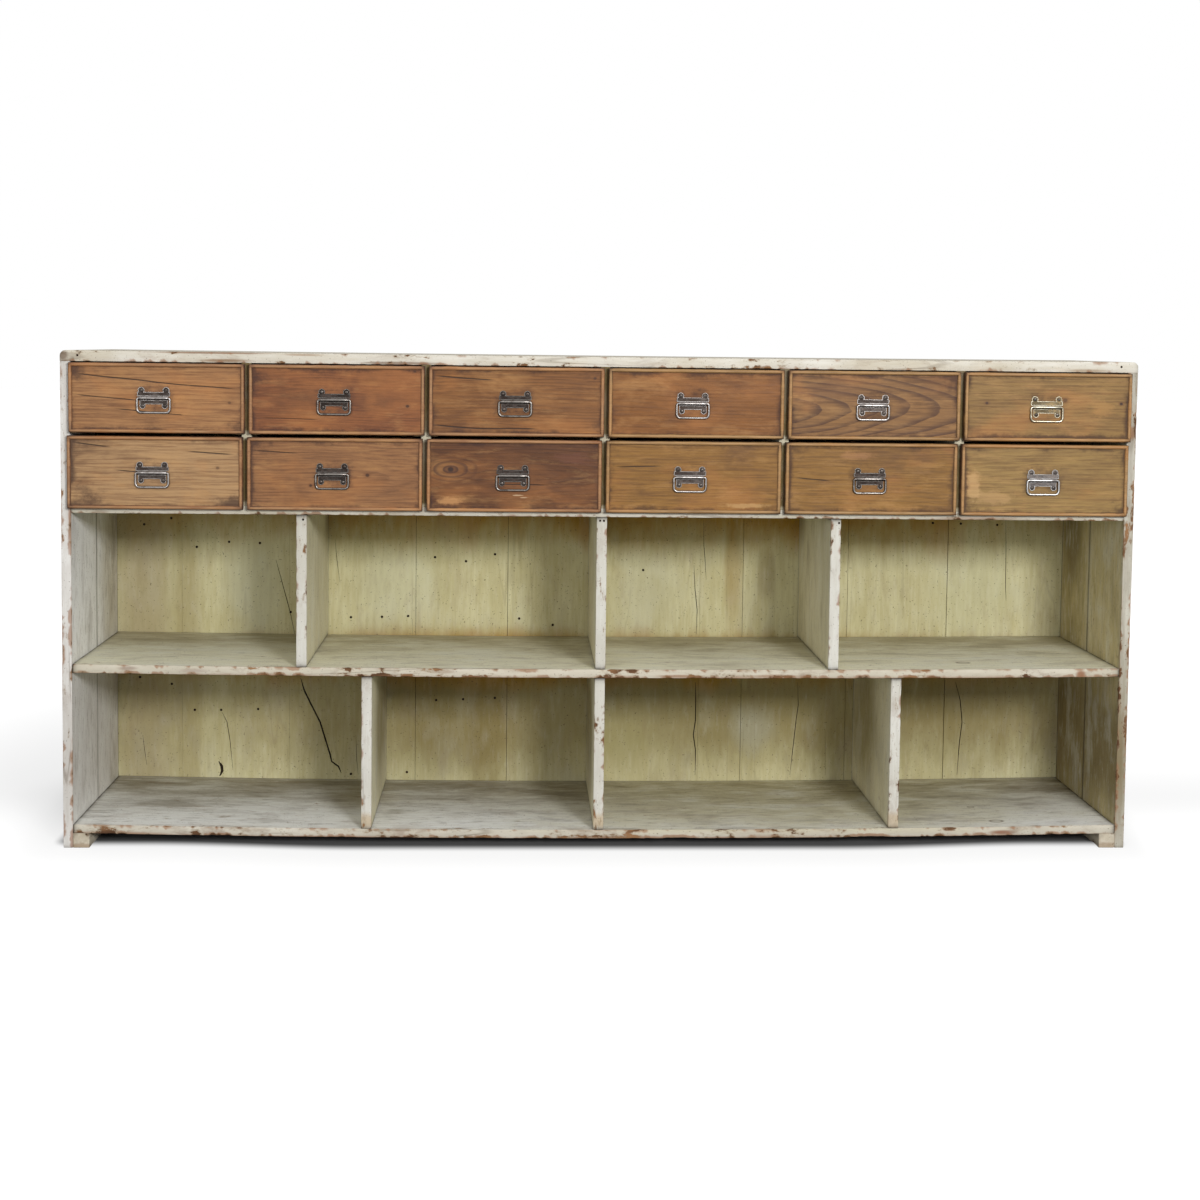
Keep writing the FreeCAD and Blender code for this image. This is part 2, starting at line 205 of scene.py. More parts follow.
def painted(
    name, grain, light, shade, soil_and_shading, offset, streaks, chips, stains_and_shading=(), wear=0.12, smudges=0.3,
    scrubbed=0.4, fade=None, knots=()
):
    """Old brushed paint on pine: streaky, dirtied, and chipped to the wood where it is worn.

    On some boards its colours also hold painted light and painted shade.
    """
    net = Net(name, offset)
    along = GRAIN[grain]
    patchy = tuple(0.4 if part < 1 else 1.0 for part in along)
    short = tuple(0.2 if part < 1 else 1.0 for part in along)
    worn, dirt_and_shading, tone, grime_and_shade = (net.attribute(layer) for layer in LAYERS)
    smudge = net.noise(24, patchy, 31, 5, 0.68, 0.3)
    fine = net.noise(190, along, 0, 4, 0.65)
    broad = net.noise(30, short, 3, 5, 0.66)
    cloud = net.noise(5.5, (1, 1, 0.6), 7, 4, 0.6, 0.4)
    flakes = net.noise(62, patchy, 11, 6, 0.72, 0.2)
    stretch = net.noise(7, EVEN, 19, 2)
    shakes = net.noise(13, tuple(part * 0.7 for part in along), 27, 3, 0.5)
    speck = net.noise(310, EVEN, 23, 2, 0.5)
    mottle = net.noise(17, patchy, 37, 8, 0.66, 0.2)
    scrub = net.noise(120, short, 41, 5, 0.7)

    streak = broad.rise(0.36, 0.64) * 0.55 + fine.rise(0.35, 0.68) * 0.45
    # The colour of the marked faces is dirt on some boards, and painted light and shade on the shelf tops,
    # the inner faces of the sides, the dividers and the partitions
    colour = net.mix(
        light,
        (shade, streak * streaks),
        (shade, cloud.rise(0.42, 0.68) * 0.5 + tone),
        (soil_and_shading, dirt_and_shading * (0.7 + fine.rise(0.3, 0.7) * 0.3)),
    )
    if fade is not None:
        near, far, tint, strength = fade
        depth = net.y + (mottle - 0.5) * 0.3 + (cloud - 0.5) * 0.2
        colour = net.mix(colour, (tint, depth.rise(near * MM, far * MM) * dirt_and_shading * strength))
    ragged = (cloud - 0.5) * 0.8 + (mottle - 0.5) * 0.9
    # Some patches are real marks; others are painted shade and painted light, as said where each paint is
    # made
    for at, reach, patch_colour, strength in stains_and_shading:
        colour = net.mix(colour, (patch_colour, net.spot(at, reach, ragged, 0.7) * strength))
    rubbed = (0.25 + dirt_and_shading * 0.75) * scrubbed
    colour = net.mix(
        colour,
        ((104, 88, 60), mottle.rise(0.5, 0.68) * rubbed * 0.42),
        ((240, 242, 236), mottle.fall(0.34, 0.52) * rubbed * 0.5),
        ((92, 76, 54), scrub.rise(0.53, 0.66) * rubbed * 0.4),
        ((244, 244, 238), scrub.fall(0.34, 0.46) * rubbed * 0.35),
        ((148, 124, 104), smudge.rise(0.53, 0.68) * smudges * (1.0 - dirt_and_shading * 0.6)),
    )
    for at, reach in knots:
        ragged = (broad - 0.5) * 0.35
        inner = net.spot(at, tuple(part * 0.72 for part in reach), ragged, 0.4)
        colour = net.mix(colour, ((104, 78, 46), (net.spot(at, reach, ragged, 0.35) - inner * 0.75) * 0.75))
    split = (shakes - 0.5).unary("ABSOLUTE").fall(0.002, 0.007)
    split = split * (0.25 + worn) * stretch.rise(0.42, 0.56) * 0.5
    edge_line = (worn + (mottle - 0.5) * 1.6).rise(0.62, 1.15)
    edge = flakes + worn * wear + (stretch - 0.5) * 0.5 * worn + chips
    bare = edge.rise(0.70, 0.72)
    wood = net.mix(
        (160, 120, 84), ((98, 70, 50), broad.rise(0.38, 0.6)), ((66, 46, 36), flakes.rise(0.70, 0.84) * 0.7)
    )
    # The last layer darkens the corners where boards meet: dirt and painted shade
    colour = net.mix(
        colour,
        ((92, 80, 60), speck.rise(0.67, 0.73) * 0.75),
        ((104, 84, 60), split),
        ((158, 112, 80), edge_line * 0.7),
        ((160, 138, 110), edge.rise(0.63, 0.70) * 0.55),
        (wood, bare),
        ((52, 42, 28), grime_and_shade * (0.6 + broad.rise(0.3, 0.6) * 0.4)),
    )
    height = (1.0 - bare) * 0.5 + fine * 0.3 + broad * 0.25 - speck.rise(0.68, 0.74) * 0.2 - split * 0.4
    return net.finish(colour, 0.62 + bare * 0.2 + streak * 0.1, height, 0.45, {"Specular IOR Level": 0.14})


def pine(name, offset, early, late, rings, curl, knots=(), cracks=(), patches=(), figure=0.42, clear=0.25):
    """Waxed flat-sawn pine whose rings close in arches round (centre x, centre z, stretch).

    Only a large knot bends the rings round it, and marks them.
    """
    net = Net(name, offset)
    centre_x, centre_z, stretch = curl
    dirt_and_shading = net.attribute("dirt_and_shading")
    worn = net.attribute("worn")
    sway = net.noise(5, (0.55, 1, 1), 0, 2)
    ripple = net.noise(42, (0.1, 1, 1), 5, 2)
    fibre = net.noise(360, (0.03, 1, 1), 9, 4, 0.66)
    streaky = net.noise(150, (0.075, 1, 1), 11, 7, 0.74, 0.5)
    warm = net.noise(9, (0.5, 1, 1), 25, 4, 0.6, 0.4)
    mottle = net.noise(70, (0.2, 1, 1), 21, 6, 0.7, 0.2)
    sooty = net.noise(70, (0.8, 1, 1), 29, 7, 0.74)
    blotch = net.noise(10, (0.5, 1, 1), 13, 5, 0.66, 0.3)
    pores = net.noise(900, (0.05, 1, 1), 15, 1)
    bands = net.noise(16, (0.05, 1, 1), 17, 2)

    across = net.z - centre_z * MM + (sway - 0.5) * 0.034
    length = (net.x - centre_x * MM) * stretch
    count = (across * across + length * length + 0.00004).unary("SQRT") * rings
    count = count + ((ripple - 0.5) * 1.3 + (bands - 0.5) * 2.2) * (1.2 - clear)
    swirls, whorls = [], []
    for x, z, radius, strength in knots:
        if radius < 6:
            continue
        over, up = (net.x - x * MM) * 0.45, net.z - z * MM
        around = (over * over + up * up).unary("SQRT") * rings * 0.85 + (ripple - 0.5) * 0.8
        near = net.spot((x, 0, z), (radius * 9.0, 0, radius * 4.5), (sway - 0.5) * 0.3, 0.8) * strength
        count = count * (1.0 - near) + around * near
        swirls.append(near)
        turn = around.unary("FRACT")
        whorls.append(turn.rise(0.4, 0.85) * turn.fall(0.88, 1.0) * near)
    swirl = total(swirls)
    phase = count.unary("FRACT")
    plain = clear + swirl * 0.7
    late_wood = phase.rise(0.2 + clear * 0.3, 0.93) * phase.fall(0.95, 1.0)
    late_wood = late_wood * (plain + streaky.rise(0.36, 0.62) * (1.0 - plain))
    colour = net.mix(
        early,
        (late, late_wood * (figure + swirl * 0.5)),
        (late, streaky.rise(0.46, 0.66) * 0.26),
        (late, fibre.rise(0.48, 0.62) * 0.5),
        ((92, 58, 38), mottle.rise(0.5, 0.68) * 0.22),
        ((208, 160, 100), mottle.fall(0.34, 0.5) * 0.17),
        ((196, 128, 66), warm.rise(0.48, 0.66) * 0.32),
        ((84, 50, 30), blotch.rise(0.5, 0.74) * 0.5),
        ((200, 148, 88), blotch.fall(0.3, 0.46) * 0.35),
    )
    ragged = (blotch - 0.5) * 1.6 + (sooty - 0.5) * 1.8 + (streaky - 0.5) * 1.2
    for x, z, reach_x, reach_z, tint, strength in patches:
        colour = net.mix(colour, (tint, net.spot((x, 0, z), (reach_x, 0, reach_z), ragged, 0.6) * strength))
    ragged = (ripple - 0.5) * 0.5 + (fibre - 0.5) * 0.3
    for x, z, radius, strength in knots:
        around = net.spot((x, 0, z), (radius * 2.4, 0, radius * 1.6), ragged, 0.8)
        heart = net.spot((x, 0, z), (radius, 0, radius * 0.85), ragged, 0.5)
        colour = net.mix(colour, ((104, 60, 34), around * 0.6 * strength), ((58, 34, 22), heart * strength))
    colour = net.mix(colour, *(((74, 42, 26), whorl * 0.75) for whorl in whorls))
    slits = []
    for x0, x1, z, slope, width in cracks:
        middle = (x0 + x1) / 2 * MM
        line = net.z - z * MM - (net.x - middle) * slope - (sway - 0.5) * 0.02 - (ripple - 0.5) * 0.004
        inside = net.x.rise(x0 * MM, (x0 + 24) * MM) * net.x.fall((x1 - 24) * MM, x1 * MM)
        near = line.unary("ABSOLUTE").fall(width * 0.4 * MM, width * 1.5 * MM)
        slits.append(near * inside * mottle.rise(0.28, 0.42))
    slit = total(slits)
    if slits:
        colour = net.mix(colour, ((44, 27, 19), slit * 0.9))
    # On the fronts this darkens the edges, the corners and round the pull, which is dirt with painted shade
    # along the beads; on the beads it darkens their sides as painted shade and lightens their crests as wear
    # and a painted highlight
    soot_and_shade = (dirt_and_shading + (sooty - 0.5) * 1.1 * dirt_and_shading.rise(0.0, 0.2)).rise(0.1, 0.66)
    colour = net.mix(colour, ((62, 42, 38), soot_and_shade * 0.76), ((204, 162, 114), worn * 0.55))
    height = late_wood * 0.3 + fibre * 0.35 + streaky * 0.2 - pores.rise(0.66, 0.72) * 0.2
    if slits:
        height = height - slit * 1.2
    return net.finish(
        colour, 0.46 + fibre * 0.2 + soot_and_shade * 0.2, height, 0.35,
        {"Coat Weight": 0.1, "Coat Roughness": 0.4, "Specular IOR Level": 0.35},
    )


def rough_wood(name, grain, light, dark, offset, knots=(), cross_from=None):
    """Bare sawn softwood; behind y = cross_from its grain runs along x."""
    net = Net(name, offset)

    def grains(along):
        return net.noise(240, along, 0, 4, 0.65), net.noise(48, along, 4, 3, 0.6, 0.3)

    fibre, bands = grains(GRAIN[grain])
    if cross_from is not None:
        behind = net.y.rise(cross_from * MM, (cross_from + 0.2) * MM)
        pairs = zip((fibre, bands), grains(GRAIN["x"]))
        fibre, bands = (ahead * (1.0 - behind) + cross * behind for ahead, cross in pairs)
    cloud = net.noise(6, EVEN, 8, 4, 0.6)
    saw = net.noise(70, EVEN, 12, 2)
    lines = (net.z * 900 + saw * 5.0).unary("SINE")
    colour = net.mix(
        light,
        (dark, bands.rise(0.35, 0.68) * 0.6 + fibre.rise(0.4, 0.7) * 0.25),
        (dark, cloud.rise(0.45, 0.7) * 0.5 + net.attribute("tone") * 1.6),
    )
    ragged = (bands - 0.5) * 0.6
    for x, z, radius in knots:
        around = net.spot((x, 0, z), (radius * 2.0, 0, radius * 3.2), ragged, 0.8)
        heart = net.spot((x, 0, z), (radius, 0, radius * 1.2), ragged, 0.4)
        colour = net.mix(colour, ((96, 66, 44), around * 0.6), ((62, 40, 26), heart))
    height = fibre * 0.5 + bands * 0.3 + lines * 0.05
    return net.finish(colour, 0.68 + fibre * 0.2, height, 0.35, {"Specular IOR Level": 0.3})


def steel(name, dark, bright, patina, offset, rust=0.35):
    """Tarnished pressed steel, rubbed bright on its rims.

    The brightening also stands for painted highlights, on the rims, along the barrel and along the wire.
    """
    net = Net(name, offset)
    cloud = net.noise(60, EVEN, 0, 4, 0.65)
    grit = net.noise(520, EVEN, 4, 3, 0.6)
    spots = net.noise(150, EVEN, 9, 4, 0.7)
    rubbed = (net.attribute("worn") * 1.1 + (cloud - 0.5) * 0.9 + (grit - 0.5) * 0.4).rise(0.25, 0.95)
    brown = spots.rise(0.56, 0.68) * rust
    colour = net.mix(dark, (bright, rubbed), (patina, cloud.rise(0.5, 0.66) * 0.6), ((84, 52, 36), brown))
    roughness = 0.50 - rubbed * 0.24 + brown * 0.3 + grit * 0.1
    return net.finish(colour, roughness, grit * 0.5 + spots * 0.5, 0.12, {"Metallic": 0.85})


# Meshes

LAYERS = ("worn", "dirt_and_shading", "tone", "grime_and_shade")


class Shape:
    """Points with their marks, and the faces between them.

    The marks are wear, dirt and painted shading, tone, and the darkening of corners, which is dirt and
    painted shade.
    """

    def __init__(self):
        self.points, self.marks, self.faces = [], [], []

    def add(self, point, *marks):
        self.points.append(tuple(point))
        self.marks.append(marks + (0.0,) * (len(LAYERS) - len(marks)))
        return len(self.points) - 1

    def loft(self, rings):
        """Faces between rings of points, and over the first and the last ring."""
        for first, second in zip(rings, rings[1:]):
            for index in range(len(first)):
                after = (index + 1) % len(first)
                self.faces.append((first[index], first[after], second[after], second[index]))
        self.faces += [tuple(reversed(rings[0])), tuple(rings[-1])]

    def build(self, name, *materials, pick=None, smooth_to=35.0):
        """The object; pick gives the number of a face's material."""
        mesh = bpy.data.meshes.new(name)
        mesh.from_pydata([Vector(point) * MM for point in self.points], [], self.faces)
        for key, values in zip(LAYERS, zip(*self.marks)):
            mesh.attributes.new(key, "FLOAT", "POINT").data.foreach_set("value", values)
        for material in materials:
            mesh.materials.append(material)
        clean = bmesh.new()
        clean.from_mesh(mesh)
        bmesh.ops.recalc_face_normals(clean, faces=clean.faces)
        clean.to_mesh(mesh)
        clean.free()
        if pick is not None:
            for polygon in mesh.polygons:
                polygon.material_index = pick(polygon)
        mesh.shade_smooth()
        mesh.set_sharp_from_angle(angle=math.radians(smooth_to))
        made = bpy.data.objects.new(name, mesh)
        bpy.context.scene.collection.objects.link(made)
        return made


def place(piece, body, slot, *nodes):
    """Make a finished piece ride on a body in place of CAD nodes."""
    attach(piece, body)
    if nodes:
        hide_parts(*nodes)


def place_painted(shape, node, paint):
    """Put a shape of the painted carcase in the place of its node."""
    place(shape.build(node + "_worn", paint), "carcase", "carcase_paint", node)


def loss(position, corner, seed):
    """How much of a corner is knocked off at one place along it, from 0 to 1."""
    rough = noise.noise(Vector((position * 0.061, corner * 5.1, seed * 3.7)))
    fine = noise.noise(Vector((position * 0.21, corner * 9.7, seed * 1.9)))
    slow = noise.noise(Vector((position * 0.009, corner * 2.3, seed * 7.1)))
    return max(0.0, min(1.0, rough * 1.1 + fine * 0.6 + slow * 0.9 - 0.05))


def board(
    shape, low, high, along, seed, wear, bite, step, bend=None, soil_and_shading=(0.0,) * 4, tone=0.0, extra=(),
    edges=(1.0,) * 4, least=(0.8,) * 4, ends=0.0, grime_and_shade=(0.0,) * 4
):
    """A worn board whose long corners are rounded and knocked about.

    Corners of a ring are numbered from the lower limits of both axes, counterclockwise, and each
    side has the number of the corner that it starts from. soil_and_shading is by side, and edges, least
    and grime_and_shade are by corner; the darkening at the corners and the ends is dirt and painted shade.
    """
    first, second = (axis for axis in range(3) if axis != along)
    start, end = low[along], high[along]
    count = max(2, round((end - start) / step))
    stations = {start, start + 1.0, end - 1.0, end, *extra}
    stations.update(start + (end - start) * index / count for index in range(1, count))
    directions = ((1, 0), (0, 1), (-1, 0), (0, -1))
    rings = []
    for station in sorted(stations):
        shrink = min(least) if station in (start, end) else 0.0
        end_grime_and_shade = ends * math.exp(-min(station - start, end - station) / 3.5)
        a0, a1 = low[first] + shrink, high[first] - shrink
        b0, b1 = low[second] + shrink, high[second] - shrink
        corners = ((a0, b0), (a1, b0), (a1, b1), (a0, b1))
        ring = []
        for corner, ((a, b), ahead) in enumerate(zip(corners, directions)):
            behind = directions[corner - 1]
            after = (corner + 1) % 4
            missing = loss(station, corner, seed)
            size = least[corner] + bite * missing * min(1.0, edges[corner])
            rubbed = wear * edges[corner] * (0.55 + 0.75 * missing)
            # How far each point lies from the corner, ahead and behind, how worn it is, and how much it takes
            # of the colour of the marked faces
            spots = [
                (0, size, rubbed * 0.8, soil_and_shading[corner - 1] * 0.4),
                (size * 0.3, size * 0.3, rubbed, 0.0),
                (size, 0, rubbed * 0.8, soil_and_shading[corner] * 0.4),
            ]
            width = abs(corners[after][0] - a) + abs(corners[after][1] - b)
            inner = ((width / 2, 0.2, 1.0),)
            if width > 60:
                inner = ((6, 0.35, 0.7), (18, 0.05, 1.0), (width - 18, 0.05, 1.0), (width - 6, 0.35, 0.7))
            for distance, share, soil_and_shade in inner:
                nearer = edges[corner if distance < width / 2 else after]
                spots.append((distance, 0, wear * share * nearer, soil_and_shading[corner] * soil_and_shade))
            for index, (on, back, worn, dirt_and_shading) in enumerate(spots):
                point = [0.0, 0.0, 0.0]
                point[along] = station
                point[first] = a + ahead[0] * on - behind[0] * back
                point[second] = b + ahead[1] * on - behind[1] * back
                if bend is not None:
                    bend(point)
                corner_grime_and_shade = grime_and_shade[corner] if index < 3 else 0.0
                ring.append(shape.add(point, worn, dirt_and_shading, tone, max(end_grime_and_shade, corner_grime_and_shade)))
        rings.append(ring)
    shape.loft(rings)


def level(height, sag, x):
    """How high a sagging board is at x."""
    return height - sag * (1.0 - (x / SIDE_INNER) ** 2)


# Carcase

RUST_BROWN = (156, 108, 76)
edge_paint = painted(
    "edge_paint", "x", (222, 217, 203), (190, 180, 152), (146, 142, 122), 2.0, 0.5, 0.0,
    (
        ((-930, FRONT, 628), (26, 9, 6), (146, 118, 92), 0.5),
        ((700, FRONT, 628), (120, 9, 4), RUST_BROWN, 0.5),
    ),
)
top_paint = painted(
    "top_paint", "x", (232, 228, 217), (200, 189, 164), (190, 180, 156), 31.0, 0.55, 0.0,
    (
        ((-700, FRONT, 909), (62, 12, 4), (146, 112, 78), 0.8),
        ((-725, FRONT, 923), (150, 9, 3), (140, 100, 70), 0.8),
        ((-560, FRONT, 921), (50, 12, 3), (160, 126, 92), 0.6),
        ((-994, FRONT, 915), (12, 40, 14), (120, 96, 76), 0.8),
        ((905, FRONT, 908), (60, 12, 4), (160, 132, 96), 0.6),
        ((-380, FRONT, 908), (90, 12, 3), (120, 92, 70), 0.7),
    ),
    wear=0.11,
)
# The near-white colour of the left side's inner face, which faces the lamp, is painted light; the patches
# make it greyer low down and browner at the back, and the fade darkens it towards the back
left_side_paint = painted(
    "left_side_paint", "z", (243, 241, 236), (196, 188, 178), (252, 252, 250), 9.0, 0.6, -0.01,
    (
        ((-982, 0, 180), (30, 0, 190), (196, 190, 182), 0.6),
        ((-982, 120, 470), (30, 90, 300), (190, 180, 152), 0.5),
    ),
    wear=0.13, scrubbed=0.75, fade=(60, 210, (176, 166, 140), 0.5),
)
# The browner colour of the right side's inner face, which faces away from the lamp, is painted shade, and so
# are its dark patches low down and at the back under the deck; the pale patch in front is painted light, and
# the fade darkens it towards the back
right_side_paint = painted(
    "right_side_paint", "z", (211, 207, 193), (158, 149, 130), (212, 198, 148), 10.0, 0.75, 0.01,
    (
        ((991, FRONT, 792), (8, 12, 15), (172, 122, 84), 0.9),
        ((982, 0, 170), (30, 0, 190), (126, 110, 72), 0.8),
        ((982, 120, 560), (30, 90, 120), (110, 94, 60), 0.6),
        ((982, -60, 400), (30, 60, 90), (214, 202, 164), 0.5),
    ),
    wear=0.14, scrubbed=0.6, fade=(-40, 210, (140, 124, 84), 0.5),
)
# The pale patch on the upper right divider is painted light, and the dark band at the back of the upper
# dividers under the deck is painted shade; the lower dividers are made darker and browner
divider_paint = painted(
    "divider_paint", "z", (228, 226, 217), (196, 190, 174), (222, 215, 180), 41.0, 0.5, 0.0,
    (
        ((435, 60, 480), (14, 250, 240), (255, 250, 226), 0.9),
        ((0, 60, 190), (2000, 240, 180), (148, 136, 96), 0.85),
        ((0, 190, 600), (2000, 120, 90), (128, 110, 66), 0.6),
        ((0, FRONT, 50), (2000, 14, 22), (196, 168, 122), 0.6),
    ),
    wear=0.13,
)
# The near-white colour of the shelf tops, the marked faces of these two paints, is painted light; the fade
# makes the tops darker and browner towards the back
shelf_paint = painted(
    "shelf_paint", "x", (216, 208, 189), (194, 186, 165), (246, 243, 216), 5.0, 0.48, 0.0,
    (
        ((908, FRONT, 334), (13, 14, 11), RUST_BROWN, 0.9),
        ((-880, FRONT, 338), (24, 9, 5), (150, 124, 110), 0.6),
        ((-760, FRONT, 334), (40, 9, 6), (168, 146, 134), 0.5),
        ((150, FRONT, 327), (60, 9, 4), RUST_BROWN, 0.7),
        ((330, FRONT, 328), (70, 9, 4), RUST_BROWN, 0.6),
        ((-300, FRONT, 334), (30, 9, 5), (150, 124, 100), 0.5),
    ),
    wear=0.13, smudges=0.5, scrubbed=0.55, fade=(-80, 190, (150, 136, 98), 0.65),
    knots=(((700, -120, 345), (17, 11, 0)),),
)
low_shelf_paint = painted(
    "low_shelf_paint", "x", (213, 206, 189), (188, 180, 162), (250, 251, 248), 15.0, 0.42, 0.01,
    (
        ((330, 0, 44), (760, 400, 30), (196, 188, 148), 0.72),
        ((-470, 60, 44), (90, 150, 30), (170, 158, 116), 0.5),
        ((765, FRONT, 30), (34, 12, 6), (150, 104, 80), 0.9),
        ((-543, FRONT, 19), (205, 9, 5), (150, 104, 80), 0.8),
        ((231, FRONT, 18), (46, 9, 5), (150, 104, 80), 0.8),
        ((40, FRONT, 20), (140, 9, 4), (150, 104, 80), 0.5),
    ),
    wear=0.13, smudges=0.55, scrubbed=0.8, fade=(-120, 170, (130, 118, 84), 0.75),
    knots=(((765, -150, 44), (17, 12, 0)), ((742, -40, 44), (9, 7, 0))),
)
foot_paint = painted(
    "foot_paint", "y", (240, 230, 210), (200, 184, 152), (150, 138, 108), 25.0, 0.6, 0.01,
    (
        ((-967, FRONT, 3), (40, 14, 7), (168, 134, 100), 0.6),
        ((967, FRONT, 4), (40, 14, 9), (168, 134, 100), 0.5),
    ),
    wear=0.18, smudges=0.4,
)
# The partitions' front edges, seen in the narrow gaps between the drawer fronts, are given a dark olive as
# painted shade, with pale bands as painted light where the row gaps let light in
gap_shade_and_light = painted(
    "gap_shade_and_light", "z", (128, 112, 72), (92, 76, 46), (96, 76, 50), 61.0, 0.5, 0.0,
    (((0, 0, 772), (0, 0, 11), (214, 206, 180), 0.9), ((0, 0, 642), (0, 0, 9), (206, 196, 166), 0.8)),
)
# The deep yellow-brown bands at the tops of both rows of bays are painted shade under the deck and the middle
# shelf, and the pale patch in the middle of each upper bay is painted light; other patches make the lower
# bays darker and browner, and mark single boards
back_paint = painted(
    "back_paint", "z", (219, 214, 174), (190, 180, 132), (120, 104, 64), 51.0, 0.75, -0.03,
    [
        ((x, 0, z), (reach_x, 0, reach_z), colour, strength)
        for x, z, reach_x, reach_z, colour, strength in (
            (-925, 300, 80, 640, (184, 170, 134), 0.7), (-840, 300, 40, 620, (166, 150, 104), 0.5),
            (-700, 440, 90, 130, (212, 210, 178), 0.6), (-217, 150, 50, 260, (150, 136, 90), 0.6),
            (-400, 450, 130, 90, (214, 212, 178), 0.55), (289, 500, 28, 190, (156, 126, 68), 0.5),
            (358, 470, 26, 70, (156, 140, 100), 0.5), (90, 430, 110, 120, (206, 203, 170), 0.5),
            (800, 430, 120, 120, (198, 195, 156), 0.5), (0, 190, 1500, 190, (138, 122, 74), 0.62),
            (335, 150, 70, 80, (196, 196, 176), 0.7), (60, 120, 100, 90, (176, 168, 120), 0.5),
            (-280, 190, 230, 170, (132, 114, 66), 0.4), (330, 190, 300, 190, (122, 108, 64), 0.42),
            (780, 190, 280, 190, (120, 100, 46), 0.5), (0, 640, 1500, 140, (168, 124, 10), 0.93),
            (0, 290, 1500, 74, (166, 122, 8), 0.92),
        )
    ],
    smudges=0.15, scrubbed=0.7,
)
raw_back = rough_wood(
    "raw_back", "z", (176, 144, 106), (112, 84, 60), 71.0,
    ((-905, 700, 9), (-760, 240, 12), (-470, 560, 10), (-300, 130, 8), (-90, 760, 11), (60, 330, 9),
     (265, 610, 7), (420, 200, 12), (650, 480, 9), (880, 820, 10), (905, 300, 8)),
)


def top_bend(point):
    """The worn round ends, and the slight hollow of the top."""
    reach = 10.0
    inset = HALF_WIDTH - abs(point[0])
    high = TOP
    if inset < reach:
        high -= reach - math.sqrt(reach**2 - (reach - max(inset, 0.0)) ** 2)
    high -= 1.6 * (1.0 - (point[0] / HALF_WIDTH) ** 2)
    share = (point[2] - TOP_UNDERSIDE) / (TOP - TOP_UNDERSIDE)
    point[2] = TOP_UNDERSIDE + share * (high - TOP_UNDERSIDE)


def sagged(sag):
    """A bend for a board that hangs by this much at mid-width."""

    def bend(point):
        point[2] = level(point[2], sag, point[0])

    return bend


shape = Shape()
round_end = (0.4, 1.2, 2.2, 3.6, 5.2, 7.4, 10.0)
board(
    shape, (-HALF_WIDTH, FRONT, TOP_UNDERSIDE), (HALF_WIDTH, BACK, TOP), 0, 1, 1.1, 3.4, 5.0, top_bend,
    (0, 0, 0.35, 0), extra=[side * (HALF_WIDTH - inset) for side in (-1, 1) for inset in round_end],
    edges=(1.3, 0.8, 0.8, 0.9), ends=0.45,
)
place_painted(shape, "top_board", top_paint)

for name, x0, x1, seed, soil_and_shading, paint in (
    ("left_side", -SIDE_OUTER, -SIDE_INNER, 11, (0, 1.0, 0, 0), left_side_paint),
    ("right_side", SIDE_INNER, SIDE_OUTER, 13, (0, 0, 0, 1.0), right_side_paint),
):
    shape = Shape()
    middle = 991 if x0 > 0 else -991
    board(
        shape, (x0, FRONT, 0), (x1, SIDE_JOINT[0], TOP_UNDERSIDE), 2, seed, 1.1, 3.2, 6.0, soil_and_shading=soil_and_shading,
        edges=(1.3, 1.3, 0.1, 0.1), least=(0.8, 0.8, 0.6, 0.6), ends=0.3, grime_and_shade=(0, 0, 0.7, 0.7),
    )
    board(
        shape, (x0, SIDE_JOINT[1], 0), (x1, INTERIOR_BACK, TOP_UNDERSIDE), 2, seed + 1, 1.0, 2.2, 9.0,
        soil_and_shading=soil_and_shading, edges=(0.1, 0.1, 0.3, 0.3), least=(0.6, 0.6, 0.8, 0.8), ends=0.3,
        grime_and_shade=(0.7, 0.7, 0.9, 0.9),
    )
    board(shape, (middle - 2, 10, 0.5), (middle + 2, 17.5, 904.5), 2, seed + 2, 0.0, 0.2, 120.0)
    place_painted(shape, name, paint)

for name, x0, x1, seed in (
    ("left_foot", -SIDE_INNER, -FOOT_INNER, 17),
    ("right_foot", FOOT_INNER, SIDE_INNER, 19),
):
    shape = Shape()
    underside = min(level(BOTTOM_UNDERSIDE, BOTTOM_SAG, x) for x in (x0, x1))
    board(
        shape, (x0, FRONT, 0), (x1, INTERIOR_BACK, underside), 1, seed, 1.2, 3.2, 7.0, ends=0.25,
        grime_and_shade=(0.3, 0.3, 0.5, 0.5),
    )
    place_painted(shape, name, foot_paint)

for name, base, top, sag, seed, wear, bite, soil_and_shading, edges, ends, grime_and_shade, paint in (
    (
        "drawer_deck", DECK_UNDERSIDE, DECK_TOP, 0.0, 23, 1.1, 3.6, (0.8, 0, 0.6, 0), (1.3, 0.1, 0.1, 0.6),
        0.8, (0, 0.7, 0.7, 0), edge_paint,
    ),
    (
        "middle_shelf", MIDDLE_UNDERSIDE, MIDDLE_SHELF, MIDDLE_SAG, 29, 1.25, 4.0, (0.7, 0, 1.0, 0),
        (1.6, 0.1, 0.1, 1.1), 1.3, (0, 0.7, 0.9, 0), shelf_paint,
    ),
    (
        "bottom_shelf", BOTTOM_UNDERSIDE, BOTTOM_SHELF, BOTTOM_SAG, 31, 1.3, 4.4, (0.7, 0, 1.0, 0),
        (1.6, 0.1, 0.1, 1.0), 1.3, (0, 0.7, 0.9, 0), low_shelf_paint,
    ),
):
    shape = Shape()
    board(
        shape, (-SIDE_INNER, FRONT, base), (SIDE_INNER, INTERIOR_BACK, top), 0, seed, wear, bite, 5.0,
        sagged(sag), soil_and_shading, edges=edges, ends=ends, grime_and_shade=grime_and_shade,
    )
    place_painted(shape, name, paint)

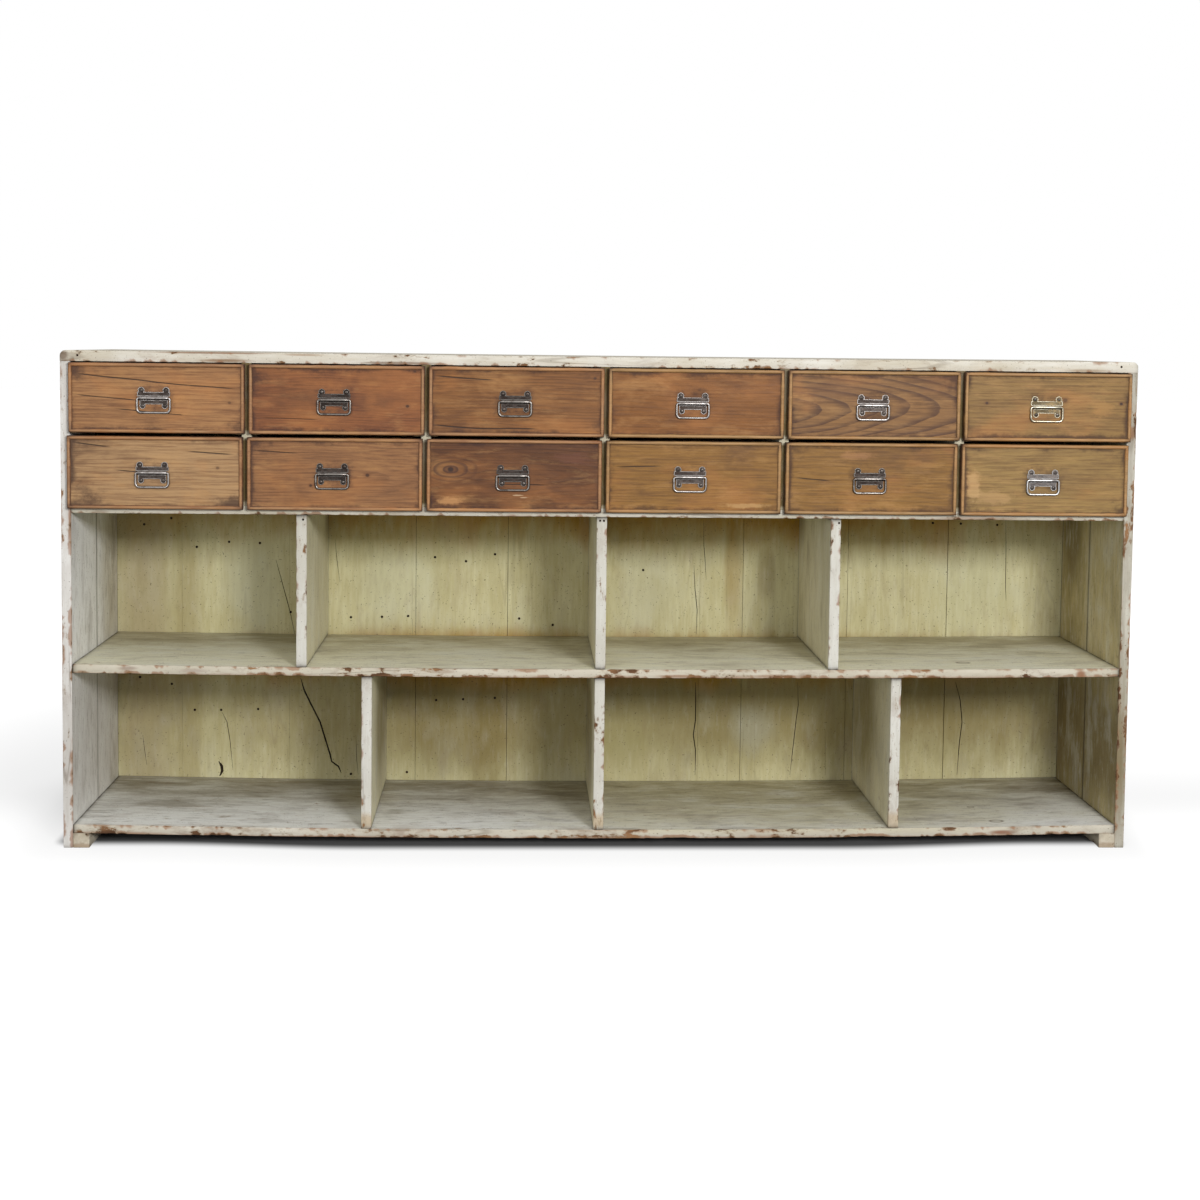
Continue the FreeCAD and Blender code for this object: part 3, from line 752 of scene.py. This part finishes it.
shape = Shape()
seed = 37
for positions, base, top, wear in (
    (UPPER_DIVIDERS, (MIDDLE_SHELF, MIDDLE_SAG), (DECK_UNDERSIDE, 0.0), 1.0),
    (LOWER_DIVIDERS, (BOTTOM_SHELF, BOTTOM_SAG), (MIDDLE_UNDERSIDE, MIDDLE_SAG), 1.05),
):
    for x in positions:
        seed += 1
        half = DIVIDER_THICKNESS / 2
        board(
            shape, (x - half, FRONT, level(*base, x)), (x + half, INTERIOR_BACK, level(*top, x)), 2, seed,
            wear, 3.0, 6.0, soil_and_shading=(0, 1.0, 0, 1.0), edges=(1.0, 1.0, 0.1, 0.1), ends=1.1,
            grime_and_shade=(0, 0, 0.8, 0.8),
        )
place_painted(shape, "shelf_dividers", divider_paint)

# Drawer bays, between the partitions


def columns(gap, outer):
    """The limits of the six columns, each at this gap from the middles of the partitions."""
    return list(zip([-outer] + [x + gap for x in PARTITIONS], [x - gap for x in PARTITIONS] + [outer]))


bays = columns(PARTITION_THICKNESS / 2, SIDE_INNER)
shape = Shape()
for column, (_, x0) in enumerate(bays[:-1]):
    board(
        shape, (x0, FRONT, DECK_TOP), (x0 + PARTITION_THICKNESS, INTERIOR_BACK, TOP_UNDERSIDE), 2,
        50 + column, 0.7, 2.0, 9.0, soil_and_shading=(0.3, 0.9, 0, 0.9),
    )
place_painted(shape, "drawer_partitions", gap_shade_and_light)

# Back boards, with the cracks cut into them and the nails that hold them

# Each crack's width, and then the points that it goes through
CRACKS = (
    (1.5, (-658, 495), (-644, 443), (-629, 387), (-617, 329)),
    (3.6, (-607, 249), (-600, 224), (-588, 199), (-567, 157), (-553, 111), (-546, 88), (-543, 74), (-529, 64),
     (-523, 50)),
    (1.1, (-537, 539), (-533, 496), (-527, 450)),
    (1.1, (-377, 374), (-376, 340)),
    (1.2, (226, 585), (227, 532), (230, 501), (233, 459)),
    (1.6, (207, 490), (210, 438), (215, 396), (214, 345)),
    (2.2, (214, 244), (215, 206), (215, 164), (211, 132), (216, 100), (216, 47)),
    (1.6, (429, 245), (431, 196), (427, 164), (422, 111), (416, 47)),
    (1.1, (489, 143), (491, 47)),
    (1.9, (763, 246), (774, 208), (779, 161), (774, 112), (771, 48)),
    (1.3, (861, 589), (863, 526), (864, 448), (866, 419)),
    (1.4, (-769, 177), (-759, 157), (-753, 119), (-747, 56)),
    (1.1, (-932, 129), (-928, 96), (-924, 66)),
    (6.5, (-776, 74), (-770, 64), (-769, 54), (-774, 43)),  # a bent nail
    (1.1, (-493, 130), (-491, 77), (-488, 46)),
)
BAY_NAILS = (
    (-927, 567), (-872, 580), (-820, 521), (-754, 532), (-691, 530), (-628, 387), (-331, 503), (-267, 495),
    (-207, 510), (-504, 377), (-440, 378), (-386, 380), (-156, 376), (-86, 363), (101, 479), (707, 582),
    (766, 581), (843, 579), (569, 334), (-937, 250), (-872, 236), (-825, 182), (-771, 182), (-695, 184),
    (-327, 204), (-271, 206), (-205, 209), (-387, 52), (-503, 48),
)
FRONT_NAILS = ((-7, 619), (0, 619), (968, 916), (-968, 916), (441, 618), (-557, 617))
NAIL_LEVELS = (36, 337, 634)  # at the bottom shelf, the middle shelf and the deck

shape = Shape()
tones = (0.22, 0.0, 0.05, 0.16, 0.02, -0.02, 0.2, 0.04, 0.08, 0.0)
gaps = (0, 0.1, 0.1, 0.35, 0.4, 0.3, 0.15, 0.35, 0.35, 0.6, 0)
back_boards = list(zip(BACK_JOINTS, BACK_JOINTS[1:]))
for index, (left, right) in enumerate(back_boards):
    board(
        shape, (left + gaps[index], INTERIOR_BACK, 12), (right - gaps[index + 1], BACK - 0.25, TOP_UNDERSIDE),
        2, 70 + index, 0.3, 0.6, 12.0, tone=tones[index], least=(0.15, 0.15, 1.3, 1.3),
        edges=(gaps[index] * 2, gaps[index + 1] * 2, 1.0, 1.0),
    )
boards = shape.build(
    "back_boards_worn", back_paint, raw_back, pick=lambda polygon: int(polygon.center.y > 210.6 * MM)
)

cutter = Shape()
for width, *path in CRACKS:
    rings = []
    for index, (x, z) in enumerate(path):
        ends = min(index, len(path) - 1 - index)
        half = width / 2 * (1.0 if ends else 0.35)
        depth = 6.0 if ends else 3.0
        before, after = path[max(index - 1, 0)], path[min(index + 1, len(path) - 1)]
        down = Vector((after[0] - before[0], after[1] - before[1])).normalized()
        side_x, side_z = -down.y * half, down.x * half
        rings.append(
            [
                cutter.add((x + side_x * share, INTERIOR_BACK + deep, z + side_z * share))
                for share, deep in ((-1, -1.5), (1, -1.5), (0.5, depth), (-0.5, depth))
            ]
        )
    cutter.loft(rings)
# The walls of the cracks get a near-black wood: painted shade in the cracks
crack_and_joint_shade = rough_wood("crack_and_joint_shade", "z", (62, 48, 32), (30, 22, 15), 75.0)
wedges = cutter.build("back_board_cracks", crack_and_joint_shade)
cut = boards.modifiers.new("cracks", "BOOLEAN")
cut.object = wedges
cut.operation = "DIFFERENCE"
cut.solver = "EXACT"
cut.material_mode = "TRANSFER"
bpy.context.view_layer.update()
graph = bpy.context.evaluated_depsgraph_get()
cracked = bpy.data.meshes.new_from_object(boards.evaluated_get(graph), depsgraph=graph)
boards.modifiers.clear()
cracked.shade_smooth()
cracked.set_sharp_from_angle(angle=math.radians(20))
boards.data = cracked
bpy.data.objects.remove(wedges)
place(boards, "carcase", "back_board_paint", "back_boards")

# Near-black strips behind the joints of the back boards: painted shade in the joints
shape = Shape()
middle = (INTERIOR_BACK + BACK) / 2
for x in BACK_JOINTS[1:-1]:
    board(shape, (x - 2, middle - 2, 12.5), (x + 5, middle + 2, 904.5), 2, x, 0.0, 0.2, 120.0)
place(shape.build("back_tongues", crack_and_joint_shade), "carcase", "back_board_paint", "back_boards")


def nail(shape, at, facing, radius=2.7, rise=0.9):
    """A low round nail head whose axis is one of the axes of the frame."""
    facing = Vector(facing)
    first = Vector((0, 0, 1)) if facing.z == 0 else Vector((1, 0, 0))
    second = facing.cross(first)
    rings = []
    for share, height in ((1.0, -0.4), (1.0, 0.0), (0.9, rise * 0.8), (0.5, rise)):
        ring = []
        for step in range(10):
            angle = math.tau * step / 10
            outwards = first * math.cos(angle) + second * math.sin(angle)
            ring.append(shape.add(Vector(at) + outwards * (radius * share) + facing * height, 0.1))
        rings.append(ring)
    shape.loft(rings)


shape = Shape()
for x, z in BAY_NAILS:
    nail(shape, (x, INTERIOR_BACK, z), (0, -1, 0))
for x, z in FRONT_NAILS:
    nail(shape, (x, FRONT, z), (0, -1, 0), 2.2, 0.3)
for x0, x1 in back_boards:
    for level_z in NAIL_LEVELS:
        for share in (0.22, 0.76):
            x = x0 + (x1 - x0) * share
            nail(shape, (x, BACK - 0.24, level_z + 2.0 * math.sin(x)), (0, 1, 0), 3.0, 0.2)
for side in (-1, 1):
    for level_z in NAIL_LEVELS:
        for y in (-150, -20, 60, 165):
            nail(shape, (side * (SIDE_OUTER - 0.02), y, level_z + 0.02 * y), (side, 0, 0), 2.6, 0.18)
    for y in (-160, -30, 90, 180):
        nail(shape, (side * 968, y, TOP - 0.25), (0, 0, 1), 2.6, 0.18)
nail_rust = steel("nail_rust", (44, 34, 26), (84, 66, 50), (60, 40, 28), 83.0, 0.8)
place(shape.build("carcase_nails", nail_rust), "carcase", "tarnished_steel")

# Drawers

# Each row: the lower and upper edge of its fronts, the base of its boxes, how far the fronts are
# shifted, and the height and the places of its pulls
ROWS = {
    "upper": (775.0, 903.0, 785.3, 1.7, 839.0, (-827.633, -499.3, -166.967, 161.867, 498.2, 825.033)),
    "lower": (635.0, 769.0, 642.3, -1.7, 702.0, (-831.033, -502.7, -170.367, 158.467, 494.8, 821.633)),
}
# Each front: the finish of its pull; how dark it is made at its left, right, lower and upper edge, where
# it is dirt with painted shade along the beads, and then in its corners, counterclockwise from the lower
# left; its pine's early and late wood, rings and curl; and what else marks the pine
FRONTS = {
    "upper": (
        ("plain", (0.6, 0.4, 0.5, 0.4, 0.3, 0.9, 0.3, 1.5), (171, 123, 77), (109, 68, 40), 150,
         (-700, 826, 0.03), dict(cracks=((-974, -674, 872, -0.09, 1.2), (-977, -850, 842, -0.1, 1.0),
         (-904, -757, 816, -0.09, 0.8)), knots=((-690, 832, 4, 0.5),))),
        ("dark", (1.2, 0.4, 0.6, 0.8, 0.6, 0.2, 0.5, 1.7), (139, 83, 43), (86, 46, 24), 190,
         (-330, 832, 0.09), dict(knots=((-365, 829, 4.5, 0.8), (-352, 893, 3.5, 0.6)),
         cracks=((-640, -520, 806, 0.02, 0.8),))),
        ("dark", (1.0, 0.8, 0.7, 0.6, 0.4, 0.9, 0.6, 0.5), (138, 89, 40), (88, 50, 21), 170,
         (-90, 842, 0.05), dict(cracks=((-322, -200, 884, -0.06, 1.3), (-322, -120, 792, -0.05, 1.3)),
         knots=((-20, 884, 4, 0.7),))),
        ("plain", (0.6, 0.6, 0.5, 0.8, 0.2, 0.5, 0.3, 0.4), (136, 84, 27), (94, 53, 16), 140,
         (400, 900, 0.03), dict(figure=0.25)),
        ("plain", (0.7, 0.9, 0.5, 0.9, 0.2, 0.6, 0.9, 0.5), (141, 100, 53), (75, 43, 22), 134,
         (80, 835, 0.135), dict(figure=0.9, clear=0.8, patches=((420, 868, 60, 22, (112, 74, 48), 0.4),))),
        ("brassy", (0.9, 0.9, 0.9, 0.5, 0.8, 0.5, 0.2, 0.3), (147, 113, 59), (100, 68, 34), 150,
         (900, 790, 0.04), dict(knots=((712, 846, 3.5, 0.8), (860, 853, 5, 0.5), (966, 847, 4, 0.95)),
         patches=((930, 836, 26, 20, (190, 140, 78), 0.4),))),
    ),
    "lower": (
        ("plain", (1.4, 0.5, 0.4, 0.4, 2.4, 1.7, 0.2, 1.0), (181, 143, 99), (118, 82, 53), 140,
         (-900, 740, 0.04), dict(cracks=((-775, -677, 738, -0.05, 1.3), (-980, -900, 752, -0.12, 1.2),
         (-905, -800, 703, -0.05, 1.0)), knots=((-712, 712, 4, 0.5),))),
        ("dark", (1.2, 0.6, 0.4, 0.6, 1.0, 0.7, 0.2, 0.9), (154, 107, 65), (96, 59, 37), 170,
         (-520, 692, 0.11), dict(knots=((-438, 701, 5, 0.8), (-542, 681, 4, 0.8)),
         cracks=((-655, -560, 744, -0.04, 0.9),))),
        ("dark", (0.8, 0.7, 0.6, 0.9, 0.2, 0.5, 0.9, 0.8), (102, 59, 22), (63, 33, 12), 150,
         (-250, 700, 0.12), dict(knots=((-285, 713, 8, 1.0),), cracks=((-200, -100, 690, 0.03, 0.9),),
         patches=((-288, 654, 34, 9, (206, 152, 96), 0.6), (-162, 666, 12, 1.4, (210, 180, 142), 0.7),
         (-150, 662, 9, 1.2, (210, 180, 142), 0.6), (-60, 735, 40, 14, (112, 66, 50), 0.4)))),
        ("plain", (0.6, 0.5, 0.6, 0.5, 0.5, 0.2, 0.3, 0.5), (146, 103, 40), (101, 65, 26), 130,
         (100, 640, 0.03), dict(figure=0.3, patches=((262, 650, 56, 5, (204, 164, 108), 0.5),),
         cracks=((14, 110, 722, 0.0, 0.8),))),
        ("dark", (1.0, 0.7, 0.7, 0.6, 0.6, 0.4, 0.3, 0.8), (145, 103, 40), (98, 65, 26), 140,
         (600, 720, 0.04), dict(figure=0.35, patches=((470, 745, 40, 14, (190, 136, 92), 0.35),),
         cracks=((350, 430, 700, -0.1, 0.9),))),
        ("bright", (0.9, 0.8, 0.7, 0.6, 0.6, 0.9, 0.6, 0.3), (156, 124, 68), (111, 81, 44), 120,
         (1000, 690, 0.03), dict(figure=0.3, patches=((690, 688, 16, 34, (214, 172, 118), 0.45),
         (730, 668, 46, 14, (204, 162, 110), 0.35)))),
    ),
}
bead_pines = (
    pine("bead_pine_red", 20.0, (164, 116, 78), (108, 72, 50), 60, (0, 770, 0.02), figure=0.3),
    pine("bead_pine_yellow", 22.0, (166, 128, 80), (112, 84, 52), 60, (0, 770, 0.02), figure=0.3),
)
box_pine = rough_wood("box_pine", "y", (206, 174, 132), (160, 122, 84), 90.0, (), BOX_BACK)
steels = {
    "plain": steel("steel_plain", (66, 57, 52), (184, 178, 174), (88, 76, 68), 1.0),
    "dark": steel("steel_dark", (50, 42, 38), (152, 146, 140), (66, 50, 44), 3.0, 0.5),
    "bright": steel("steel_bright", (84, 78, 76), (212, 210, 208), (112, 100, 92), 5.0, 0.2),
    "brassy": steel("steel_brassy", (96, 84, 62), (212, 204, 182), (144, 116, 70), 7.0, 0.2),
}
# The flats of the plate, above and below the barrel: half the width, how high its shoulders are, and the
# middle and the radius of its ears
FLATS = {1: (30, 11.5, 22.5, 14.5, 6.2), -1: (25.5, 11.0, 20.3, 14.0, 5.6)}


def field(shape, x0, x1, z0, z1, pull_x, pull_z, seed, weights):
    """The flat board of a front, darker towards its edges, its corners and the pull.

    This is dirt, with painted shade along the beads.
    """

    def lines(low, high):
        near = (0, 2, 5, 9, 14, 20, 28)
        span = high - low - 2 * near[-1]
        count = round(span / 9)
        inner = [low + near[-1] + span * index / count for index in range(1, count)]
        return [low + d for d in near] + inner + [high - d for d in reversed(near)]

    grid = []
    xs = lines(x0, x1)
    for z in lines(z0, z1):
        row = []
        for x in xs:
            gaps_to = (x - x0, x1 - x, z - z0, z1 - z)
            soil_and_shade = max(weight * math.exp(-gap / 6.5) for weight, gap in zip(weights, gaps_to))
            for weight, to_side, to_level in zip(weights[4:], (0, 1, 1, 0), (2, 2, 3, 3)):
                reach = math.hypot(gaps_to[to_side], gaps_to[to_level] * 1.2)
                soil_and_shade = max(soil_and_shade, weight * math.exp(-reach / 25))
            uneven = 0.75 + 1.0 * noise.noise(Vector((x * 0.02, z * 0.02, seed)))
            away = math.hypot(max(abs(x - pull_x) - 30, 0), max(abs(z - pull_z) - 20, 0))
            handled = 0.55 * math.exp(-away / 9)
            soil_and_shade = soil_and_shade * 0.85 * uneven + handled * (0.2 + 0.5 * uneven)
            hollow = 0.25 + 0.25 * noise.noise(Vector((x * 0.012, z * 0.03, seed * 2.1)))
            row.append(shape.add((x, FIELD_FACE + hollow, z), 0.0, min(1.0, max(0.0, soil_and_shade))))
        grid.append(row)
    for first, second in zip(grid, grid[1:]):
        for index in range(len(first) - 1):
            shape.faces.append((first[index], first[index + 1], second[index + 1], second[index]))
    rim = grid[0][:-1] + [row[-1] for row in grid[:-1]] + grid[-1][:0:-1] + [row[0] for row in grid[:0:-1]]
    rear = [shape.add((shape.points[i][0], LIP_BACK, shape.points[i][2])) for i in rim]
    for index in range(len(rim)):
        after = (index + 1) % len(rim)
        shape.faces.append((rim[after], rim[index], rear[index], rear[after]))
    shape.faces.append(tuple(rear))


def bead_strip(shape, corner_a, corner_b, inward, seed):
    """One mitred strip of half-round bead, a little dented along its crest."""
    span_x, span_z = corner_b[0] - corner_a[0], corner_b[1] - corner_a[1]
    length = math.hypot(span_x, span_z)
    start = Vector((corner_a[0], LIP_BACK, corner_a[1]))
    along = Vector((span_x / length, 0, span_z / length))
    across = Vector((inward[0], 0, inward[1]))
    radius = BEAD_WIDTH / 2
    # For each line of the strip: how far across it and how far out it runs, how worn it is, which on the
    # crest is also a painted highlight, and how dark it is made, which down the sides is painted shade
    section = [(0.0, 0.0, 0.0, 0.7), (0.0, LIP_DEPTH, 0.1, 0.75)]
    for step in range(1, 10):
        angle = math.pi * step / 10
        crest = math.sin(angle)
        section.append(
            (
                radius - radius * math.cos(angle), LIP_DEPTH + radius * crest, crest**4 * 0.8,
                0.6 * (1 - crest) ** 0.7,
            )
        )
    section += [(BEAD_WIDTH, LIP_DEPTH, 0.0, 1.0), (BEAD_WIDTH, 0.0, 0.0, 1.0)]
    count = max(3, round(length / 11))
    rings = []
    for index in range(count + 1):
        ring = []
        for offset, out, worn, dirt_and_shading in section:
            run = 0.12 + offset + (length - 2 * offset - 0.24) * (index / count)
            dent = noise.noise(Vector((run * 0.045, seed * 4.1, 0.5)))
            if out > LIP_DEPTH:
                out -= 0.35 * max(0.0, dent)
            end = math.exp(-min(run, length - run) / 9)
            point = start + along * run + across * offset + Vector((0, -out, 0))
            worn = max(0.0, worn * (0.6 + 0.8 * dent) - end * 0.4)
            ring.append(shape.add(point, worn, min(1.0, dirt_and_shading * (0.8 + dent) + end * 0.45)))
        rings.append(ring)
    shape.loft(rings)


def inset(outline, distance):
    """A counterclockwise outline moved inwards by a distance."""
    moved = []
    for index, point in enumerate(outline):
        before = outline[index - 1]
        after = outline[(index + 1) % len(outline)]
        first = Vector((point[0] - before[0], point[1] - before[1])).normalized()
        second = Vector((after[0] - point[0], after[1] - point[1])).normalized()
        normal = (Vector((-first.y, first.x)) + Vector((-second.y, second.x))).normalized()
        cosine = max(0.5, normal.dot(Vector((-second.y, second.x))))
        moved.append((point[0] + normal.x * distance / cosine, point[1] + normal.y * distance / cosine))
    return moved


def arc(centre_x, centre_z, radius, start, end, steps):
    points = []
    for step in range(steps + 1):
        angle = math.radians(start + (end - start) * step / steps)
        points.append((centre_x + radius * math.cos(angle), centre_z + radius * math.sin(angle)))
    return points


def flat(shape, x, z, side, half, shoulder, ear_x, ear_z, ear_radius):
    """One flat of the pressed plate, with a raised rim round a sunken panel."""
    outline = [(-half, 3.2), (half, 3.2), (half, shoulder)]
    for centre in (ear_x, -ear_x):
        outline += arc(centre, ear_z, ear_radius, -29, 209, 12)
    outline = [(side * px, side * pz) for px, pz in outline + [(-half, shoulder)]]
    # The raised rim is made bright: wear and a painted highlight
    shape.loft(
        [
            [
                shape.add((x + px, FIELD_FACE + 0.15 - out, z + pz), worn)
                for px, pz in inset(outline, distance)
            ]
            for distance, out, worn in (
                (0, 0.0, 0.2), (0, 0.8, 0.7), (0.35, 1.2, 1.0), (1.0, 1.2, 1.0), (1.6, 0.65, 0.3)
            )
        ]
    )


def barrel(shape, x, z):
    """The rolled ridge, open at both ends where the wire goes in."""
    outer, bore = 3.4, 2.35
    angles = [math.pi * step / 12 for step in range(13)]
    section = [(-outer, bore)] + [(-outer * math.cos(angle), -outer * math.sin(angle)) for angle in angles]
    section += [(outer, bore), (bore, bore)]
    section += [(bore * math.cos(angle), -bore * math.sin(angle)) for angle in angles] + [(-bore, bore)]
    rings = []
    for px in (-26, -25.6, -13, 0, 13, 25.6, 26):
        scale = 1 - (0.25 if abs(px) == 26 else 0.0) / outer
        ring = []
        for pz, py in section:
            # The outer face of the barrel gets a painted highlight
            worn = 0.75 if py < -1.5 and pz > -1.5 else 0.15
            ring.append(shape.add((x + px, PULL_AXIS + py * scale, z + pz * scale), worn))
        rings.append(ring)
    shape.loft(rings)


def screw(shape, x, z, turn):
    """A domed head with a slot, over one hole of the plate."""
    across = Vector((math.cos(turn), 0, math.sin(turn)))
    upward = Vector((-math.sin(turn), 0, math.cos(turn)))
    centre = Vector((x, FIELD_FACE - 1.05, z))
    for side in (1, -1):
        rings = []
        for radius, out, worn in ((3.1, 0.0, 0.0), (3.0, 0.5, 0.3), (2.2, 0.95, 0.5)):
            slot_edge = math.asin(SLOT_HALF_WIDTH / radius)
            ring = []
            for step in range(9):
                angle = slot_edge + (math.pi - 2 * slot_edge) * step / 8
                at = centre + across * (radius * math.cos(angle)) + upward * (side * radius * math.sin(angle))
                ring.append(shape.add(at + Vector((0, -out, 0)), worn))
            rings.append(ring)
        shape.loft(rings)


def bail_path(x, z):
    """The middle of the wire, from one end in the barrel down and round to the other."""
    leg = 29.7
    low = -26.4
    half = [(leg - 15.0, 0), (leg - 14.2, 0), (leg - 8.0, 0)]
    half += arc(leg - 3.2, -3.2, 3.2, 90, 0, 6)
    half += [(leg, -11), (leg + 0.15, -15)]
    half += arc(leg - 7.0, low + 7.0, 7.0, 0, -90, 8)
    half += [(10, low)]
    other = [(-px, pz) for px, pz in reversed(half)]
    return [Vector((x + px, PULL_AXIS, z + pz)) for px, pz in half + [(0, low)] + other]


def wire(shape, path):
    """A round wire along a path in the plane of the front, with a painted highlight where it faces outwards.
    """
    outward = Vector((0, -1, 0))
    rings = []
    for index, point in enumerate(path):
        heading = (path[min(index + 1, len(path) - 1)] - path[max(index - 1, 0)]).normalized()
        sideways = heading.cross(outward)
        scale = WIRE_RADIUS * (0.8 if index in (0, len(path) - 1) else 1.0)
        ring = []
        for step in range(12):
            angle = math.tau * step / 12
            at = point + sideways * (scale * math.cos(angle)) + outward * (scale * math.sin(angle))
            ring.append(shape.add(at, 0.1 + 0.9 * max(0.0, math.sin(angle)) ** 1.5))
        rings.append(ring)
    shape.loft(rings)


fronts = columns(COLUMN_HALF_GAP, OUTER_FRONT_EDGE)
cad_pines = ["drawer_runners"]
for row, (z0, z1, base, shift, pull_z, pull_places) in ROWS.items():
    for column, (finish, soil_and_shade, early, late, rings, curl, marks) in enumerate(FRONTS[row]):
        name = row + "_drawer_" + str(column + 1)
        cad_pines.append(name + "_box")
        x0, x1 = (edge + shift for edge in fronts[column])
        left, right = bays[column]
        pull_x = pull_places[column]
        seed = 200 + 20 * column + (0 if row == "upper" else 10)
        offset = column + (1 if row == "upper" else 7)
        wood = pine("pine_" + row + "_" + str(column + 1), offset, early, late, rings, curl, **marks)

        shape = Shape()
        field(
            shape, x0 + BEAD_WIDTH, x1 - BEAD_WIDTH, z0 + BEAD_WIDTH, z1 - BEAD_WIDTH, pull_x, pull_z,
            seed * 0.37, soil_and_shade,
        )
        board(
            shape, (left + BOX_SIDE_INNER, LIP_BACK, base), (right - BOX_SIDE_INNER, TENON_BACK, z1 - 15),
            0, seed, 0.0, 1.0, 20.0,
        )
        front_faces = len(shape.faces)
        corners = ((x0, z0), (x1, z0), (x1, z1), (x0, z1))
        for side, inward in enumerate(((0, 1), (-1, 0), (0, -1), (1, 0))):
            bead_strip(shape, corners[side], corners[(side + 1) % 4], inward, seed + side)
        front = shape.build(
            name + "_front_worn", wood, bead_pines[column // 3],
            pick=lambda polygon: int(polygon.index >= front_faces),
        )
        place(front, name, "drawer_front_pine", name + "_front")

        plate, screws, bail = Shape(), Shape(), Shape()
        for side, (half, shoulder, ear_x, ear_z, ear_radius) in FLATS.items():
            flat(plate, pull_x, pull_z, side, half, shoulder, ear_x, ear_z, ear_radius)
            for index, x in enumerate((-ear_x, ear_x), 0 if side > 0 else 2):
                screw(screws, pull_x + x, pull_z + side * ear_z, 0.7 * seed + 1.3 * index)
        barrel(plate, pull_x, pull_z)
        wire(bail, bail_path(pull_x, pull_z))
        place(
            plate.build(name + "_plate_pressed", steels[finish]), name, "tarnished_steel",
            name + "_pull_plate",
        )
        place(screws.build(name + "_screws", steels["dark"]), name, "tarnished_steel")
        place(
            bail.build(name + "_bail_wire", steels[finish], smooth_to=60), row + "_bail_" + str(column + 1),
            "tarnished_steel", name + "_bail",
        )
for name in cad_pines:
    for cad_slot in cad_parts[name].material_slots:
        cad_slot.material = box_pine

# Studio. The floor looks white to the camera, apart from a painted shadow under the object and at its left

FLOOR_REACH = 30.0  # metres
floor_mesh = bpy.data.meshes.new("floor")
floor_corners = [(x * FLOOR_REACH, y * FLOOR_REACH, 0) for x, y in ((-1, -1), (1, -1), (1, 1), (-1, 1))]
floor_mesh.from_pydata(floor_corners, [], [(0, 1, 2, 3)])
net = Net("floor_white")
# The glow is held back over the object's footprint and a narrow band round it, so the dark floor shows there
# as a painted shadow under the object
off_left = net.math("MAXIMUM", -1.0 - net.x, 0.0)
off_x = net.math("MAXIMUM", off_left * 1.6, (net.x - 1.0) * 3.0)
front_line = 0.139 + net.x.unary("ABSOLUTE").fall(0.45, 0.85) * 0.033
off_y = net.math("MAXIMUM", net.math("MAXIMUM", net.y - 0.2, 0.0 - front_line - net.y), 0.0)
away = (off_x * off_x + off_y * off_y).unary("SQRT")
# A painted soft shadow on the floor to the left of the object
painted_shadow_left = net.spot((-1000, 250, 0), (900, 2000, 0), 0.0, 0.9) * 0.25
painted_shadow_left = painted_shadow_left + off_left.fall(0.0, 0.13) * net.y.fall(0.1, 0.9) * 0.2
painted_shadow_left = painted_shadow_left * net.y.rise(-0.2, 0.25)
seen = net.node("LightPath", output="Is Camera Ray")
glow = seen * (away.rise(0.0, 0.052) * 0.8 + away.rise(0.0, 0.35) * 0.2) * (1.0 - painted_shadow_left)
diffuse = net.node("BsdfDiffuse", {"Color": (0.18, 0.18, 0.18, 1)})
both = net.node("AddShader", {0: diffuse, 1: net.node("Emission", {"Strength": glow})})
net.node("OutputMaterial", {"Surface": both})
floor_mesh.materials.append(net.owner)
floor = bpy.data.objects.new("floor", floor_mesh)
bpy.context.scene.collection.objects.link(floor)

# The sky is white to the camera, and weaker as a light
net = Net("studio", owners=bpy.data.worlds)
seen = net.node("LightPath", output="Is Camera Ray")
sky = net.node("Background", {"Color": (1, 1, 1, 1), "Strength": seen * 0.4 + 0.6})
net.node("OutputWorld", {"Surface": sky})
bpy.context.scene.world = net.owner

for name, at, width, height, energy in (
    ("key", (1.6, -5.2, 2.1), 1.0, 0.8, 170),
    ("fill", (-2.6, -4.6, 1.3), 2.0, 1.4, 34),
):
    light = bpy.data.lights.new(name, "AREA")
    light.shape = "RECTANGLE"
    light.size = width
    light.size_y = height
    light.energy = energy
    holder = bpy.data.objects.new(name, light)
    holder.location = at
    holder.rotation_euler = (Vector((0.0, 0.0, 0.45)) - Vector(at)).to_track_quat("-Z", "Y").to_euler()
    bpy.context.scene.collection.objects.link(holder)

bpy.context.scene.view_settings.view_transform = "Standard"

# The camera as it was fitted to the photograph
camera_data = bpy.data.cameras.new("camera")
camera_data.lens = 55.5
camera_data.sensor_width = 36.0
camera_data.shift_y = -0.1106
camera_data.clip_end = 100.0
camera = bpy.data.objects.new("camera", camera_data)
camera.location = (-0.15794, -3.62205, 0.94799)
camera.rotation_euler = [math.radians(angle) for angle in (86.17844, -0.67300, -2.45155)]
bpy.context.scene.collection.objects.link(camera)
bpy.context.scene.camera = camera

bpy.context.view_layer.update()
